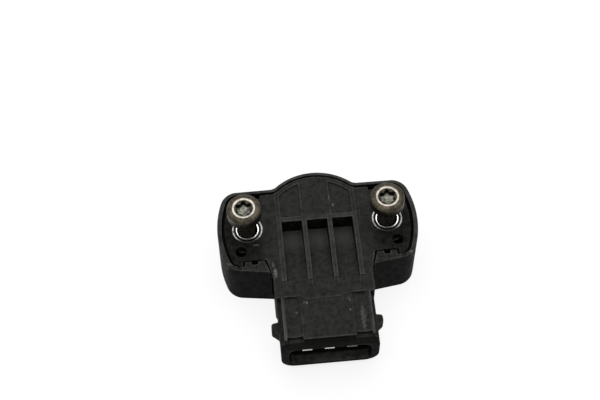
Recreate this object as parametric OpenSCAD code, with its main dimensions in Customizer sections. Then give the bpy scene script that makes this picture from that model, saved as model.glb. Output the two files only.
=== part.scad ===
// Throttle position sensor: a two-winged moulded cup with a ribbed lid and a
// three-way connector, screwed over the end of a throttle shaft.
// Frame: origin on the shaft axis in the mounting face, +Z up to the lid,
// +X along the line of the two screws, connector towards -Y. Millimetres.

/* [Housing] */
// Height of the rim above the mounting face
body_h = 13.8; // [13.2:0.1:15]
// From the screw's axis out to the wing's end
wing_margin = 6.85; // [6.6:0.05:7.6]
// How far the centre of the wing end arcs lies towards the connector
end_shift = 0.47; // [0:0.01:1]
// Distance of the straight back walls from the screw line
back_y = 9.78; // [9.6:0.02:10.4]
// How far the inside of the dome round the shaft lies outside the middle chamber's sides
dome_gap = 0.55; // [0.3:0.05:1.3]
// Blend between dome and back wall
dome_blend_r = 2.5; // [1.5:0.1:3.5]
// Distance of the front wall from the screw line, beside the connector
front_y = 11.42; // [11.2:0.02:12.2]
// Rake of the front wall in plan, in degrees
front_rake = 7.9; // [4:0.1:10]
// Corner radius at the back of each wing
back_corner_r = 4.05; // [3:0.05:5]
// Corner radius at the front of each wing
front_corner_r = 4.15; // [3:0.05:5]
// Thickness of the floor
floor_t = 2.4; // [2.2:0.1:2.6]
// Thickness of the walls below the lid
wall_t = 2; // [1.8:0.1:2.4]
// Half the width of the middle chamber
chamber_half = 10.9; // [10.7:0.05:11.2]
// Radius of the pillar round each bush
pillar_r = 5; // [4.6:0.1:5.1]
// How far the pillar stands off the middle chamber
pillar_gap = 0.1; // [0:0.05:0.4]
// Thickness of the webs that tie the pillars to the walls
web_t = 1.2; // [0.8:0.1:2]
// Height of the front shelves, below the rim
shelf_drop = 0.25; // [0:0.05:0.5]
// Depth of the small slot in each shelf
shelf_slot_depth = 2; // [1:0.1:3]

/* [Lid] */
// How far the lid lies below the rim
lid_drop = 0.6; // [0.3:0.05:1]
// Thickness of the lid
lid_t = 2; // [1.6:0.1:2.4]
// Width of the rim round the wing ends
rim_t = 1; // [0.8:0.05:1.3]
// Width of the rim along the back walls and the dome
rim_back_t = 0.72; // [0.6:0.02:0.9]
// Width of the open groove between rim and lid at the wing ends
groove_w = 0.6; // [0.4:0.05:0.8]
// Width of the seam between rim and lid elsewhere
seam_w = 0.22; // [0.12:0.02:0.4]
// Width of the seam round the shelves
shelf_seam_w = 0.42; // [0.2:0.02:0.5]
// Depth of the open groove above its sealant
groove_depth = 1; // [0.6:0.1:1.6]
// Distance of the lid's front edge from the screw line, at the wing corners
lid_front_y = 9.3; // [9:0.05:9.6]
// Corner radius of the lid at the front of each wing
lid_corner_r = 2.4; // [2:0.1:2.5]
// Distance of the shelf edge from the screw line
shelf_y = 8; // [7.6:0.05:8.4]
// Outer end of the shelf, outwards of the screw's axis
shelf_out = 1.6; // [1:0.05:1.6]
// Gap between the neck and the shelf's inner end
shelf_in_gap = 1.15; // [0.95:0.05:1.6]
// Diameter of the small hole in each wing of the lid
vent_d = 2.6; // [2:0.1:3]
// Place of that hole, outwards of the screw's axis
vent_out = 1.8; // [1.2:0.05:2.2]
// Its distance from the screw line
vent_y = 5.5; // [5.3:0.05:5.8]
// Width of the locating notch in the lid's back edge
notch_w = 1.5; // [1:0.1:2]
// Place of the notch, inwards of the screw's axis
notch_in = 2.7; // [2.2:0.05:3]
// Depth of the notch
notch_depth = 0.9; // [0.6:0.05:1.2]

/* [Lid ribs and pockets] */
// How far the ribs stand above the lid
rib_h = 0.3; // [0.15:0.05:0.5]
// Width of each long rib
rib_w = 1.1; // [0.9:0.05:1.3]
// Spacing of the four long ribs
rib_pitch = 5.8; // [5.6:0.05:6]
// Back wall of the three pockets, from the screw line
pocket_back_y = 1.15; // [0.8:0.05:1.5]
// Depth of the pockets below the rib tops at that wall
pocket_depth = 4.8; // [4:0.1:5]
// Where the ramped pocket floors run out, from the screw line
pocket_front_y = 13.6; // [13:0.1:14.4]
// Width of the cross rib behind the pockets
cross_w = 1.15; // [0.9:0.05:1.4]
// Depth of the two shallow fields behind the cross rib
field_depth = 0.5; // [0.3:0.05:0.7]

/* [Connector] */
// How far each side of the neck lies outside the middle chamber
neck_step = 0.25; // [0.15:0.05:0.3]
// Front end of the neck, from the screw line
neck_y = 17.5; // [17:0.1:18]
// How far the middle of the neck's top runs on in front of it
neck_nose = 1.1; // [0.6:0.1:1.6]
// Mouth of the shroud, from the screw line
mouth_y = 29.65; // [29:0.05:31]
// Width of the shroud
shroud_w = 21.8; // [21.4:0.1:22.1]
// Height of the shroud
shroud_h = 9.5; // [9.2:0.1:10]
// Height of the shroud's underside above the mounting face
shroud_z = 2.1; // [1.8:0.05:2.3]
// Corner radius at the bottom of the shroud
shroud_low_r = 3.35; // [2.4:0.05:3.6]
// Corner radius at the top of the shroud
shroud_top_r = 1.7; // [1.2:0.1:2.2]
// Wall of the shroud above and below the socket
shroud_wall = 1.2; // [1:0.05:1.4]
// Wall of the shroud at its ends
shroud_end_wall = 1.8; // [1.5:0.05:2]
// Corner radius at the top of the socket
socket_top_r = 2.1; // [1:0.1:2.6]
// Depth of the socket
socket_depth = 11; // [9:0.1:11.6]
// Half the width of the raised deck on the shroud
deck_half = 9.96; // [9.8:0.02:10.1]
// Setback of the deck's front from the mouth
deck_setback = 1.45; // [1.2:0.05:2]
// Half the width of the middle panel of the deck
panel_half = 5.85; // [5.6:0.05:6]
// How far the middle panel lies below the lid
panel_drop = 0.2; // [0.1:0.02:0.3]
// Setback of the two channels' ends behind the panel
channel_setback = 0.8; // [0.5:0.05:1.2]
// Radius of the channel floors
channel_r = 3.4; // [3:0.1:4.5]
// Depth of the channels below the lid
channel_depth = 0.75; // [0.5:0.05:0.9]
// Width of the rib along each edge of the deck
edge_rib_w = 0.6; // [0.4:0.05:0.8]
// How far each latch lug stands out of the shroud
lug_out = 1.6; // [1:0.05:1.7]
// Height of each lug
lug_h = 3.2; // [2.6:0.1:4]
// Back face of the lugs, from the screw line
lug_y = 21.4; // [21:0.1:22]
// Length of each lug at its root
lug_len = 3.6; // [3:0.1:4.4]
// Distance of the two pips from the middle
pip_x = 4.9; // [4.5:0.05:5.2]

/* [Terminals] */
// Spacing of the three blades
pin_pitch = 5; // [4.6:0.02:5.1]
// Width of a blade
blade_w = 2.8; // [2.4:0.05:3]
// Thickness of a blade
blade_t = 0.8; // [0.6:0.05:0.9]
// Setback of the blade tips from the mouth
tip_setback = 1.55; // [1:0.05:3]
// Chamfer of the blade tips
tip_chamfer = 0.28; // [0.15:0.01:0.35]
// Width of the lead inside the moulding
lead_w = 1.6; // [1.2:0.1:2]
// Width of the tail that passes the track board
tail_w = 1; // [0.8:0.05:1.2]
// Thickness of the tail
tail_t = 0.6; // [0.5:0.05:0.7]
// Distance of the tails from the board's front edge
tail_inset = 1.2; // [1:0.05:1.3]

/* [Screws and bushes] */
// Thread diameter of the screws
screw_d = 4; // [3.6:0.1:4.2]
// Length of the screws under the head
screw_len = 20; // [18:0.5:25]
// Diameter of the pan head
head_d = 7.7; // [7.4:0.1:8]
// Height of the pan head
head_h = 3; // [2.6:0.1:3.2]
// Diameter of the flat on top of the head
head_flat_d = 5.4; // [5:0.1:5.6]
// Drop of the head's rounded edge from that flat
head_round_h = 1.05; // [0.8:0.05:1.3]
// Across the lobes of the six-lobe recess
lobe_d = 4.1; // [3.8:0.05:4.2]
// Depth of the recess
lobe_depth = 1.6; // [1.2:0.1:1.8]
// Diameter of the recess's conical entry
entry_d = 4.6; // [4.3:0.05:4.8]
// Depth of that entry
entry_h = 0.4; // [0.2:0.05:0.5]
// Lean of the left screw, in degrees
left_lean = 1.75; // [0:0.05:1.8]
// Lean of the right screw, in degrees
right_lean = 1.5; // [0:0.05:1.8]
// Outer diameter of the bushes
bush_d = 7; // [6.8:0.05:7.2]
// Diameter of the counterbore in the top of each bush
bush_mouth_d = 6.1; // [5.8:0.05:6.3]
// Depth of that counterbore
bush_mouth_depth = 0.7; // [0.5:0.05:1]
// How far the bushes stand above the lid
bush_proud = 0.1; // [0.05:0.05:0.2]
// Outer diameter of the sleeve in each bush
sleeve_d = 5.3; // [5.1:0.05:5.4]
// Bore of the sleeve
sleeve_bore = 4.5; // [4.45:0.05:4.7]
// Height of the sleeve's lower end above the mounting face
sleeve_z = 1; // [0.6:0.1:1.4]

/* [Rotor and seals] */
// Diameter of the rotor hub
hub_d = 12.4; // [12:0.1:12.6]
// Running clearance of the hub in its bearing, on the radius
hub_play = 0.05; // [0.02:0.01:0.08]
// Top of the bearing above the mounting face
bearing_z = 3.7; // [3.6:0.05:3.8]
// Outer diameter of the bearing
bearing_d = 15.2; // [15:0.05:15.3]
// Thickness of the thrust washer
washer_t = 0.28; // [0.2:0.02:0.3]
// Radius of the rotor disc
disc_r = 8.8; // [8.7:0.05:9]
// Thickness of the rotor disc
disc_t = 0.6; // [0.5:0.02:0.62]
// Gap between the turning stop tab and the middle chamber's sides
tab_gap = 0.6; // [0.5:0.05:0.8]
// Width of the stop tab
tab_w = 1.6; // [1.2:0.1:2]
// Direction of the tab at closed throttle, in degrees from +X
tab_angle = 40; // [38:1:42]
// Turning range of the rotor, in degrees
turn_range = 100; // [90:1:102]
// Diameter of the shaft socket
socket_d = 8.1; // [7.8:0.05:8.4]
// Width across the flats of the shaft socket
socket_flats = 6.1; // [5.8:0.05:6.6]
// Diameter of the pilot recess in the mounting face
pilot_d = 17.4; // [16.8:0.1:17.8]
// Depth of the pilot recess
pilot_depth = 1.2; // [1:0.05:1.25]
// Middle radius of the face seal
seal_r = 10.15; // [10:0.05:10.3]
// Section diameter of the face seal
seal_d = 1.4; // [1.2:0.05:1.5]
// Outer diameter of the shaft seal
lip_d = 14; // [13.6:0.1:14.2]
// Height of the shaft seal
lip_h = 0.6; // [0.5:0.05:0.7]
// Wire of the return spring
wire_d = 0.45; // [0.35:0.05:0.48]
// Middle radius of the return spring
coil_r = 8.1; // [8:0.02:8.3]
// Turns of the return spring, besides the part turn to the tab
coil_turns = 2; // [1:1:2]
// Direction of the spring's fixed leg, in degrees from +X
leg_angle = 250; // [246:1:254]

/* [Track board] */
// Underside of the board above the mounting face
board_z = 5.2; // [5.1:0.05:5.3]
// Thickness of the board
board_t = 0.8; // [0.6:0.05:0.9]
// Gap between the board's round part and the middle chamber's sides
board_gap = 0.3; // [0.1:0.05:0.6]
// Gap between the board's front part and the middle chamber's sides
board_side_gap = 0.9; // [0.7:0.05:1.1]
// Gap between the board's front edge and the housing's front
board_front_gap = 0.52; // [0.3:0.02:0.62]
// Thickness of the printed tracks
track_t = 0.06; // [0.04:0.01:0.08]
// Width of the printed tracks
track_w = 1.3; // [1:0.1:1.4]
// Middle radius of the resistive track
outer_track_r = 7; // [6.9:0.05:7.1]
// Middle radius of the collector track
inner_track_r = 4.6; // [4.5:0.05:4.7]
// Thickness of the wiper sheet
wiper_t = 0.15; // [0.1:0.01:0.18]
// Direction of the wiper at closed throttle, in degrees from +X
wiper_angle = 190; // [186:1:194]
// Diameter of the rotor's boss that carries the wiper
boss_d = 5.2; // [5:0.1:5.4]
// Diameter of the wiper's ring round that boss
wiper_ring_d = 7.6; // [7.2:0.1:8]
// Width of the wiper's arm behind its middle line
arm_back_w = 1.6; // [1.4:0.1:1.8]
// Width of the arm on the side of the fingers
arm_front_w = 1.2; // [1:0.1:1.3]
// Width of one spring finger
finger_w = 0.5; // [0.4:0.05:0.55]
// Slit between the two fingers of a pair
finger_gap = 0.12; // [0.1:0.02:0.2]
// Reach of the outer pair of fingers
outer_reach = 4; // [3.8:0.1:4.2]
// Reach of the inner pair of fingers
inner_reach = 3; // [2.8:0.1:3.1]
// Diameter of the two plastic stakes that hold the board
stake_d = 1.5; // [1.2:0.1:1.7]

/* [Hidden] */

round_fn = 64;
eps = 0.5;              // overshoot of a cutter past the face it opens
fit_gap = 0.05;         // clearance between pieces that are slipped together

// Levels
lid_z = body_h - lid_drop;
ledge_z = lid_z - lid_t;
spine_z = lid_z + rib_h;
shelf_z = body_h - shelf_drop;
board_top_z = board_z + board_t;
deck_z = shroud_z + shroud_h;
blade_z = deck_z - shroud_h / 2;
disc_z = bearing_z + washer_t + 0.02;
disc_top_z = disc_z + disc_t;
hub_z = pilot_depth + 0.1;
wiper_tip_z = board_z - track_t - 0.03;

// Plan, from the middle chamber out to the wings
screw_x = chamber_half + pillar_gap + pillar_r;
end_r = screw_x + wing_margin;
dome_r = chamber_half + dome_gap + wall_t;
tab_r = chamber_half - tab_gap;
board_r = chamber_half - board_gap;
board_half = chamber_half - board_side_gap;
board_front_y = front_y - board_front_gap;
tail_y = board_front_y - tail_inset;
neck_half = chamber_half + neck_step;
shelf_in_x = neck_half + shelf_in_gap;
shelf_out_x = screw_x + shelf_out;
vent_x = screw_x + vent_out;
notch_x = screw_x - notch_in;
front_ref_x = screw_x - 3;   // where the front wall's distance is taken
spine_half = 1.5 * rib_pitch + rib_w / 2;
field_in = rib_pitch / 2 + rib_w / 2;
field_out = spine_half - rib_w;
cross_back_y = pocket_back_y + cross_w;
shroud_half = shroud_w / 2;
deck_front_y = mouth_y - deck_setback;
block_half = chamber_half - 0.45;
lid_end_r = end_r - rim_t - groove_w;
lid_back_y = back_y - rim_back_t - seam_w;
lid_dome_r = dome_r - rim_back_t - seam_w;
notch_wall_x = neck_half + seam_w;
stake_x = board_half - 1.1;
stake_y = board_front_y - 2;
stop_face_angle = asin(tab_w / 2 / tab_r) + 1.2;
stop_span = 9;
leg_seat_r = 9;
leg_seat_span = 5;
leg_seat_gap = asin((wire_d / 2 + fit_gap) / leg_seat_r);
coil_gap = 0.15;

// Points along an arc, without the first one when it joins a line drawn before
function arc(c, r, from, to, steps, first = 1) =
    [for (i = [first:steps]) let (a = from + (to - from) * i / steps) c + r * [cos(a), sin(a)]];

// Right half of a winged outline, from the top of the dome round to the front wall
function wing_half(er, by, dr, blend, bcr, fcr, fy, rake, stop_x) =
    let (blend_c = [sqrt(pow(dr + blend, 2) - pow(by + blend, 2)), by + blend],
         dome_a = atan2(blend_c.y, blend_c.x),
         end_c = [0, -end_shift],
         back_c = [sqrt(pow(er - bcr, 2) - pow(by - bcr + end_shift, 2)), by - bcr],
         back_a = atan2(back_c.y + end_shift, back_c.x),
         along = [cos(rake), sin(rake)],
         start = [front_ref_x, -fy],
         q = start + fcr * [-sin(rake), cos(rake)] - end_c,
         run = -q * along + sqrt(pow(q * along, 2) - q * q + pow(er - fcr, 2)),
         front_c = end_c + q + run * along,
         front_a = atan2(front_c.y + end_shift, front_c.x))
    concat(arc([0, 0], dr, 90, dome_a, 20, 0),
           arc(blend_c, blend, dome_a + 180, 270, 5),
           arc(back_c, bcr, 90, back_a, 8),
           arc(end_c, er, back_a, front_a, 16),
           arc(front_c, fcr, front_a, rake - 90, 8),
           [start + along * (stop_x - front_ref_x) / cos(rake)]);

// Right half of the lid's rim, grown by the seam and groove for the recess that takes it
function lid_wing(groove, seam, shelf_seam) =
    wing_half(lid_end_r + groove, lid_back_y + seam, lid_dome_r + seam, dome_blend_r - seam,
              back_corner_r - rim_t, lid_corner_r, lid_front_y + groove / 2, 0, shelf_out_x - shelf_seam);

// The same on to the neck, round the shelf
function lid_half(groove, seam, shelf_seam) =
    concat(lid_wing(groove, seam, shelf_seam),
           [[shelf_out_x - shelf_seam, -shelf_y - shelf_seam], [shelf_in_x + shelf_seam, -shelf_y - shelf_seam],
            [neck_half + 0.2 + seam, -front_y - 0.5]]);

// A right half and its mirror image as one closed outline
function both_halves(half) =
    concat(half, [for (i = [len(half) - 1:-1:0]) if (half[i].x > 0.001) [-half[i].x, half[i].y]]);

// A right half and its mirror image as one open path, from the right end over the dome
function open_path(half) =
    concat([for (i = [len(half) - 1:-1:0]) half[i]], [for (p = half) if (p.x > 0.001) [-p.x, p.y]]);

module outer_outline(inset = 0) {
    polygon(both_halves(wing_half(end_r - inset, back_y - inset, dome_r - inset, dome_blend_r + inset,
                                  back_corner_r - inset, front_corner_r - inset, front_y - inset,
                                  front_rake, chamber_half)));
}

module lid_outline(groove = 0, seam = 0, shelf_seam = 0) {
    polygon(both_halves(lid_half(groove, seam, shelf_seam)));
}

module slab(z0, z1) {
    translate([0, 0, z0]) linear_extrude(z1 - z0) children();
}

module rod(d, z0, z1) {
    translate([0, 0, z0]) cylinder(d = d, h = z1 - z0, $fn = round_fn);
}

module both_screws() {
    for (side = [-1, 1]) translate([side * screw_x, 0, 0]) children();
}

// A box given by its lowest and highest corners
module block(low, high) {
    translate(low) cube(high - low);
}

// A ring segment round the shaft, from one angle to another
module ring_piece(r0, r1, z0, z1, from, to) {
    rotate([0, 0, from])
        rotate_extrude(angle = to - from, $fn = round_fn)
            translate([r0, z0]) square([r1 - r0, z1 - z0]);
}

// Hollow round each pillar, under the wings of the lid
module wing_hollow() {
    difference() {
        intersection() {
            slab(floor_t, ledge_z + eps) outer_outline(wall_t);
            block([chamber_half + web_t, -shelf_y + web_t, 0], [end_r, back_y, body_h]);
        }
        translate([screw_x, 0, 0]) cylinder(r = pillar_r, h = body_h, $fn = round_fn);
        block([screw_x, -web_t / 2, 0], [end_r, web_t / 2, body_h]);
    }
}

// Middle chamber for rotor, spring and track board, open at the front for the neck
module chamber() {
    intersection() {
        slab(floor_t, ledge_z + eps) outer_outline(wall_t);
        block([-chamber_half, -front_y, 0], [chamber_half, dome_r, body_h]);
    }
    block([-notch_wall_x, -front_y - 1, floor_t], [notch_wall_x, -lid_front_y, body_h + eps]);
}

module housing() color([0.13, 0.13, 0.13]) {
    difference() {
        slab(0, body_h) outer_outline();
        slab(ledge_z, body_h + eps) lid_outline(groove_w, seam_w, shelf_seam_w);
        for (side = [0, 1]) mirror([side, 0, 0]) {
            wing_hollow();
            // Top of the shelf, and its slot
            block([shelf_in_x - 2, -front_y + rim_t, shelf_z], [shelf_out_x, -shelf_y, body_h + eps]);
            block([shelf_in_x + 1.95, -shelf_y - 1.25, shelf_z - shelf_slot_depth],
                  [shelf_in_x + 3.35, -shelf_y, body_h]);
        }
        chamber();
        both_screws() rod(bush_d, -eps, body_h);
        rod(pilot_d, -eps, pilot_depth);
        rod(lip_d, 0, pilot_depth + lip_h + fit_gap);
        rod(hub_d + 2 * hub_play, 0, floor_t + eps);
        // Groove for the face seal
        difference() {
            rod(2 * seal_r + seal_d + 0.2, -eps, seal_d + 0.1);
            rod(2 * seal_r - seal_d - 0.2, -2 * eps, seal_d + 2 * eps);
        }
    }
    // Bearing for the rotor
    difference() {
        rod(bearing_d, floor_t - eps, bearing_z);
        rod(hub_d + 2 * hub_play, 0, body_h);
    }
    // Stops for the rotor's tab
    for (face = [tab_angle - stop_face_angle - stop_span, tab_angle + turn_range + stop_face_angle])
        ring_piece(disc_r + 0.5, dome_r - wall_t / 2, floor_t - 0.2, disc_top_z, face, face + stop_span);
    // Seat of the spring's fixed leg
    for (face = [leg_angle - leg_seat_gap - leg_seat_span, leg_angle + leg_seat_gap])
        ring_piece(leg_seat_r, leg_seat_r + 1.4, floor_t - 0.2, floor_t + 1, face, face + leg_seat_span);
}

// Stakes of the lid through the board, with their melted heads
module stakes() {
    for (side = [-1, 1]) translate([side * stake_x, -stake_y, 0]) {
        rod(stake_d, board_z - 0.1, board_top_z + eps);
        rod(stake_d + 0.8, board_z - 0.4, board_z);
    }
}

// Body of the lid below its plate: the thick middle behind the neck, the seat
// that carries the board round the dome, and the part in the wall's notch
module lid_underside() {
    block([-block_half, -front_y + 0.1, board_top_z], [block_half, cross_back_y, ledge_z + eps]);
    block([-neck_half, -front_y - 1, floor_t + 0.1], [neck_half, -board_front_y - 0.1, ledge_z + eps]);
    intersection() {
        difference() {
            rod(2 * board_r, board_top_z, ledge_z + eps);
            rod(2 * board_r - 2.4, board_top_z - eps, body_h);
        }
        block([-board_r, cross_back_y - eps, 0], [board_r, board_r, body_h]);
    }
    stakes();
}

// Outline of the shroud or of its socket, seen from the mouth
module shroud_profile(half, h, low_r, top_r) {
    polygon(concat(arc([half - low_r, low_r], low_r, -90, 0, 8, 0),
                   arc([half - top_r, h - top_r], top_r, 0, 90, 8, 0),
                   arc([-half + top_r, h - top_r], top_r, 90, 180, 8, 0),
                   arc([-half + low_r, low_r], low_r, 180, 270, 8, 0)));
}

module shroud_bar(half, h, low_r, top_r, z, y_front, y_back) {
    translate([0, -y_back, z]) rotate([90, 0, 0])
        linear_extrude(y_front - y_back) shroud_profile(half, h, low_r, top_r);
}

// Latch lug, a ramp in plan with a steep back face
module lug() {
    translate([shroud_half - 0.3, 0, blade_z - lug_h / 2])
        linear_extrude(lug_h)
            polygon([[0, -lug_y], [0.3 + lug_out * 0.85, -lug_y - 0.3], [0.3 + lug_out, -lug_y - 0.75],
                     [0.3 + lug_out, -lug_y - lug_len * 0.55], [0, -lug_y - lug_len]]);
}

// Raised deck on the shroud: middle panel, two channels and an edge rib at each side
module deck() {
    difference() {
        block([-deck_half, -deck_front_y, deck_z - eps], [deck_half, -neck_y + eps, lid_z]);
        block([-panel_half, -mouth_y, lid_z - panel_drop], [panel_half, -neck_y + 2, body_h]);
        for (side = [0, 1]) mirror([side, 0, 0]) {
            // The floor of the channel rises to both sides in an arc
            translate([(panel_half + deck_half - edge_rib_w) / 2, 0, lid_z - channel_depth + channel_r])
                rotate([90, 0, 0])
                    cylinder(r = channel_r, h = mouth_y, $fn = round_fn);
            block([panel_half, -mouth_y, deck_z],
                  [deck_half - edge_rib_w, -deck_front_y + channel_setback, body_h]);
        }
    }
}

// Neck between housing and shroud; the middle of its top runs on over the deck
module neck() {
    slab(shroud_z, lid_z)
        polygon([[-neck_half, -front_y - 0.4], [neck_half, -front_y - 0.4], [neck_half, -neck_y + 0.2],
                 [shroud_half, -neck_y - 0.4], [-shroud_half, -neck_y - 0.4], [-neck_half, -neck_y + 0.2]]);
    slab(deck_z - eps, lid_z)
        polygon([[-panel_half, -neck_y - 0.3], [-panel_half + 1.6, -neck_y - neck_nose - 0.2],
                 [panel_half - 2, -neck_y - neck_nose], [panel_half - 0.3, -neck_y - 0.3]]);
}

// Ribs and middle panel that stand proud of the lid, fading out towards the neck
module spine() {
    intersection() {
        translate([spine_half, 0, 0]) rotate([90, 0, -90])
            linear_extrude(2 * spine_half)
                polygon([[-dome_r, ledge_z + eps], [pocket_front_y + 1, ledge_z + eps],
                         [pocket_front_y + 1, lid_z], [pocket_front_y - 0.8, spine_z], [-dome_r, spine_z]]);
        slab(0, 2 * body_h) lid_outline();
    }
}

// One pocket between two ribs, its floor ramping up to the front
module pocket(x) {
    translate([x + rib_pitch / 2 - rib_w / 2, 0, 0]) rotate([90, 0, -90])
        linear_extrude(rib_pitch - rib_w)
            polygon([[-pocket_back_y, spine_z - pocket_depth], [pocket_front_y, lid_z],
                     [pocket_front_y + 1, spine_z + eps], [-pocket_back_y, spine_z + eps]]);
}

// Shallow field behind the cross rib, between two long ribs
module field() {
    intersection() {
        block([field_in, cross_back_y, spine_z - field_depth], [field_out, dome_r, body_h + eps]);
        slab(0, 2 * body_h) circle(r = lid_dome_r - 1.1, $fn = round_fn);
    }
}

module cover() color([0.17, 0.17, 0.17]) {
    difference() {
        union() {
            slab(ledge_z, lid_z) lid_outline();
            spine();
            lid_underside();
            neck();
            shroud_bar(shroud_half, shroud_h, shroud_low_r, shroud_top_r, shroud_z, mouth_y, neck_y);
            deck();
            for (side = [0, 1]) mirror([side, 0, 0]) {
                lug();
                translate([pip_x, -neck_y - 2, lid_z - panel_drop - 0.1])
                    cylinder(d1 = 1, d2 = 0.55, h = 0.45, $fn = 24);
            }
        }
        for (x = [-rib_pitch, 0, rib_pitch]) pocket(x);
        for (side = [0, 1]) mirror([side, 0, 0]) {
            field();
            translate([vent_x, -vent_y, 0]) rod(vent_d, ledge_z - eps, body_h);
            block([notch_x - notch_w / 2, lid_back_y - notch_depth, ledge_z - eps],
                  [notch_x + notch_w / 2, back_y, body_h]);
        }
        both_screws() rod(bush_d + 2 * fit_gap, ledge_z - eps, body_h);
        shroud_bar(shroud_half - shroud_end_wall, shroud_h - 2 * shroud_wall, shroud_low_r - shroud_wall,
                   socket_top_r, shroud_z + shroud_wall, mouth_y + eps, mouth_y - socket_depth);
        for (i = [-1, 0, 1]) terminal_shape(i);
    }
}

// Sealing compound in the bottom of the groove round the lid
module cover_sealant() color([0.05, 0.05, 0.05]) {
    inner = open_path(lid_wing(0, 0, 0));
    slab(ledge_z, lid_z - groove_depth)
        polygon(concat(open_path(lid_wing(groove_w, seam_w, shelf_seam_w)),
                       [for (i = [len(inner) - 1:-1:0]) inner[i]]));
}

module bush() color([0.75, 0.75, 0.74]) {
    difference() {
        rod(bush_d, 0, lid_z + bush_proud);
        rod(sleeve_d, -eps, body_h);
        rod(bush_mouth_d, lid_z + bush_proud - bush_mouth_depth, body_h);
    }
}

module sleeve() color([0.8, 0.8, 0.79]) {
    difference() {
        rod(sleeve_d, sleeve_z, lid_z + bush_proud);
        rod(sleeve_bore, 0, body_h);
    }
}

// Half section of the pan head, rounded from its flat down to the widest point
function head_half() =
    let (flat_r = head_flat_d / 2, reach = head_d / 2 - flat_r)
    concat([[0, 0], [head_d / 2 - 0.15, 0], [head_d / 2, 0.2]],
           [for (i = [0:7]) let (a = 90 * i / 7)
               [flat_r + reach * cos(a), head_h - head_round_h + head_round_h * sin(a)]],
           [[0, head_h]]);

// Six-lobe recess: conical entry, walls from one wavy outline and a shallow conical floor
module screw_recess() {
    waist_d = lobe_d * 0.72;   // ratio of the standard recess
    wave = (lobe_d - waist_d) / 4;
    cone_h = 0.4;
    slab(head_h - lobe_depth, head_h + eps)
        polygon([for (i = [0:47]) let (a = 7.5 * i, r = lobe_d / 2 - wave + wave * cos(6 * a))
                    r * [cos(a), sin(a)]]);
    translate([0, 0, head_h - entry_h])
        cylinder(d1 = waist_d, d2 = 2 * entry_d - waist_d, h = 2 * entry_h, $fn = round_fn);
    translate([0, 0, head_h - lobe_depth - cone_h])
        cylinder(d1 = 0.4, d2 = waist_d - 0.3, h = cone_h + 0.1, $fn = round_fn);
}

// Pan-head screw standing in its sleeve, leaning by the play that it has there
module screw(lean) color([0.55, 0.5, 0.43]) {
    pivot_z = (sleeve_z + lid_z + bush_proud) / 2;
    tip_d = screw_d - 0.9;
    translate([0, 0, pivot_z + tip_d / 2 * sin(lean)]) rotate([0, -lean, 0]) translate([0, 0, -pivot_z]) {
        difference() {
            translate([0, 0, screw_len]) rotate_extrude($fn = round_fn) polygon(head_half());
            translate([0, 0, screw_len]) screw_recess();
        }
        rod(screw_d, 0.5, screw_len);
        cylinder(d1 = tip_d, d2 = screw_d, h = 0.5, $fn = round_fn);
    }
}

// Blade, lead and tail of terminal i, counted from the middle
module terminal_shape(i) {
    tip = mouth_y - tip_setback;
    root = mouth_y - socket_depth - 1.2;
    translate([i * pin_pitch, 0, 0]) {
        slab(blade_z - blade_t / 2, blade_z + blade_t / 2)
            polygon([[-blade_w / 2 + tip_chamfer, -tip], [blade_w / 2 - tip_chamfer, -tip],
                     [blade_w / 2, -tip + 0.6], [blade_w / 2, -root],
                     [lead_w / 2, -root], [lead_w / 2, -tail_y + tail_t / 2],
                     [-lead_w / 2, -tail_y + tail_t / 2], [-lead_w / 2, -root],
                     [-blade_w / 2, -root], [-blade_w / 2, -tip + 0.6]]);
        block([-tail_w / 2, -tail_y - tail_t / 2, board_z - 0.25],
              [tail_w / 2, -tail_y + tail_t / 2, blade_z]);
    }
}

module terminal(i) color([0.85, 0.85, 0.84]) terminal_shape(i);

module track_board() color([0.85, 0.83, 0.75]) {
    difference() {
        union() {
            rod(2 * board_r, board_z, board_top_z);
            block([-board_half, -board_front_y, board_z], [board_half, -1, board_top_z]);
        }
        for (side = [-1, 1]) translate([side * stake_x, -stake_y, 0]) rod(stake_d, 0, body_h);
        for (i = [-1, 0, 1])
            block([i * pin_pitch - tail_w / 2 - fit_gap, -tail_y - tail_t / 2 - fit_gap, 0],
                  [i * pin_pitch + tail_w / 2 + fit_gap, -tail_y + tail_t / 2 + fit_gap, body_h]);
    }
}

// A printed lead from a track to the tail of a terminal
module track_lead(i, y_end) {
    difference() {
        block([i * pin_pitch - track_w / 2, -tail_y - 0.8, board_z - track_t],
              [i * pin_pitch + track_w / 2, -y_end, board_z]);
        block([i * pin_pitch - tail_w / 2 - fit_gap, -tail_y - tail_t / 2 - fit_gap, 0],
              [i * pin_pitch + tail_w / 2 + fit_gap, -tail_y + tail_t / 2 + fit_gap, body_h]);
    }
}

module resistive_track() color([0.08, 0.08, 0.09]) {
    ring_piece(outer_track_r - track_w / 2, outer_track_r + track_w / 2,
               board_z - track_t, board_z, -46, 226);
    for (i = [-1, 1]) track_lead(i, 5);
}

module collector_track() color([0.7, 0.68, 0.6]) {
    difference() {
        rod(2 * inner_track_r + track_w, board_z - track_t, board_z);
        rod(2 * inner_track_r - track_w, 0, body_h);
    }
    track_lead(0, inner_track_r);
}

// Rotor: hub with the two-flat shaft socket, disc, stop tab and a boss for the wiper
module rotor() color([0.82, 0.78, 0.66]) {
    difference() {
        union() {
            rod(hub_d, hub_z, disc_z + 0.1);
            rod(2 * disc_r, disc_z, disc_top_z);
            rod(boss_d, disc_top_z - 0.1, disc_top_z + 0.35);
            rotate([0, 0, tab_angle]) {
                block([disc_r - 0.6, -tab_w / 2, disc_z], [tab_r, tab_w / 2, disc_top_z]);
                block([coil_r + wire_d / 2 + coil_gap, -tab_w / 2, floor_t + 0.9],
                      [tab_r, tab_w / 2, disc_z + disc_t / 2]);
            }
        }
        intersection() {
            rod(socket_d, 0, disc_top_z - 0.2);
            block([-socket_d, -socket_flats / 2, -eps], [socket_d, socket_flats / 2, disc_top_z]);
        }
    }
}

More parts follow.
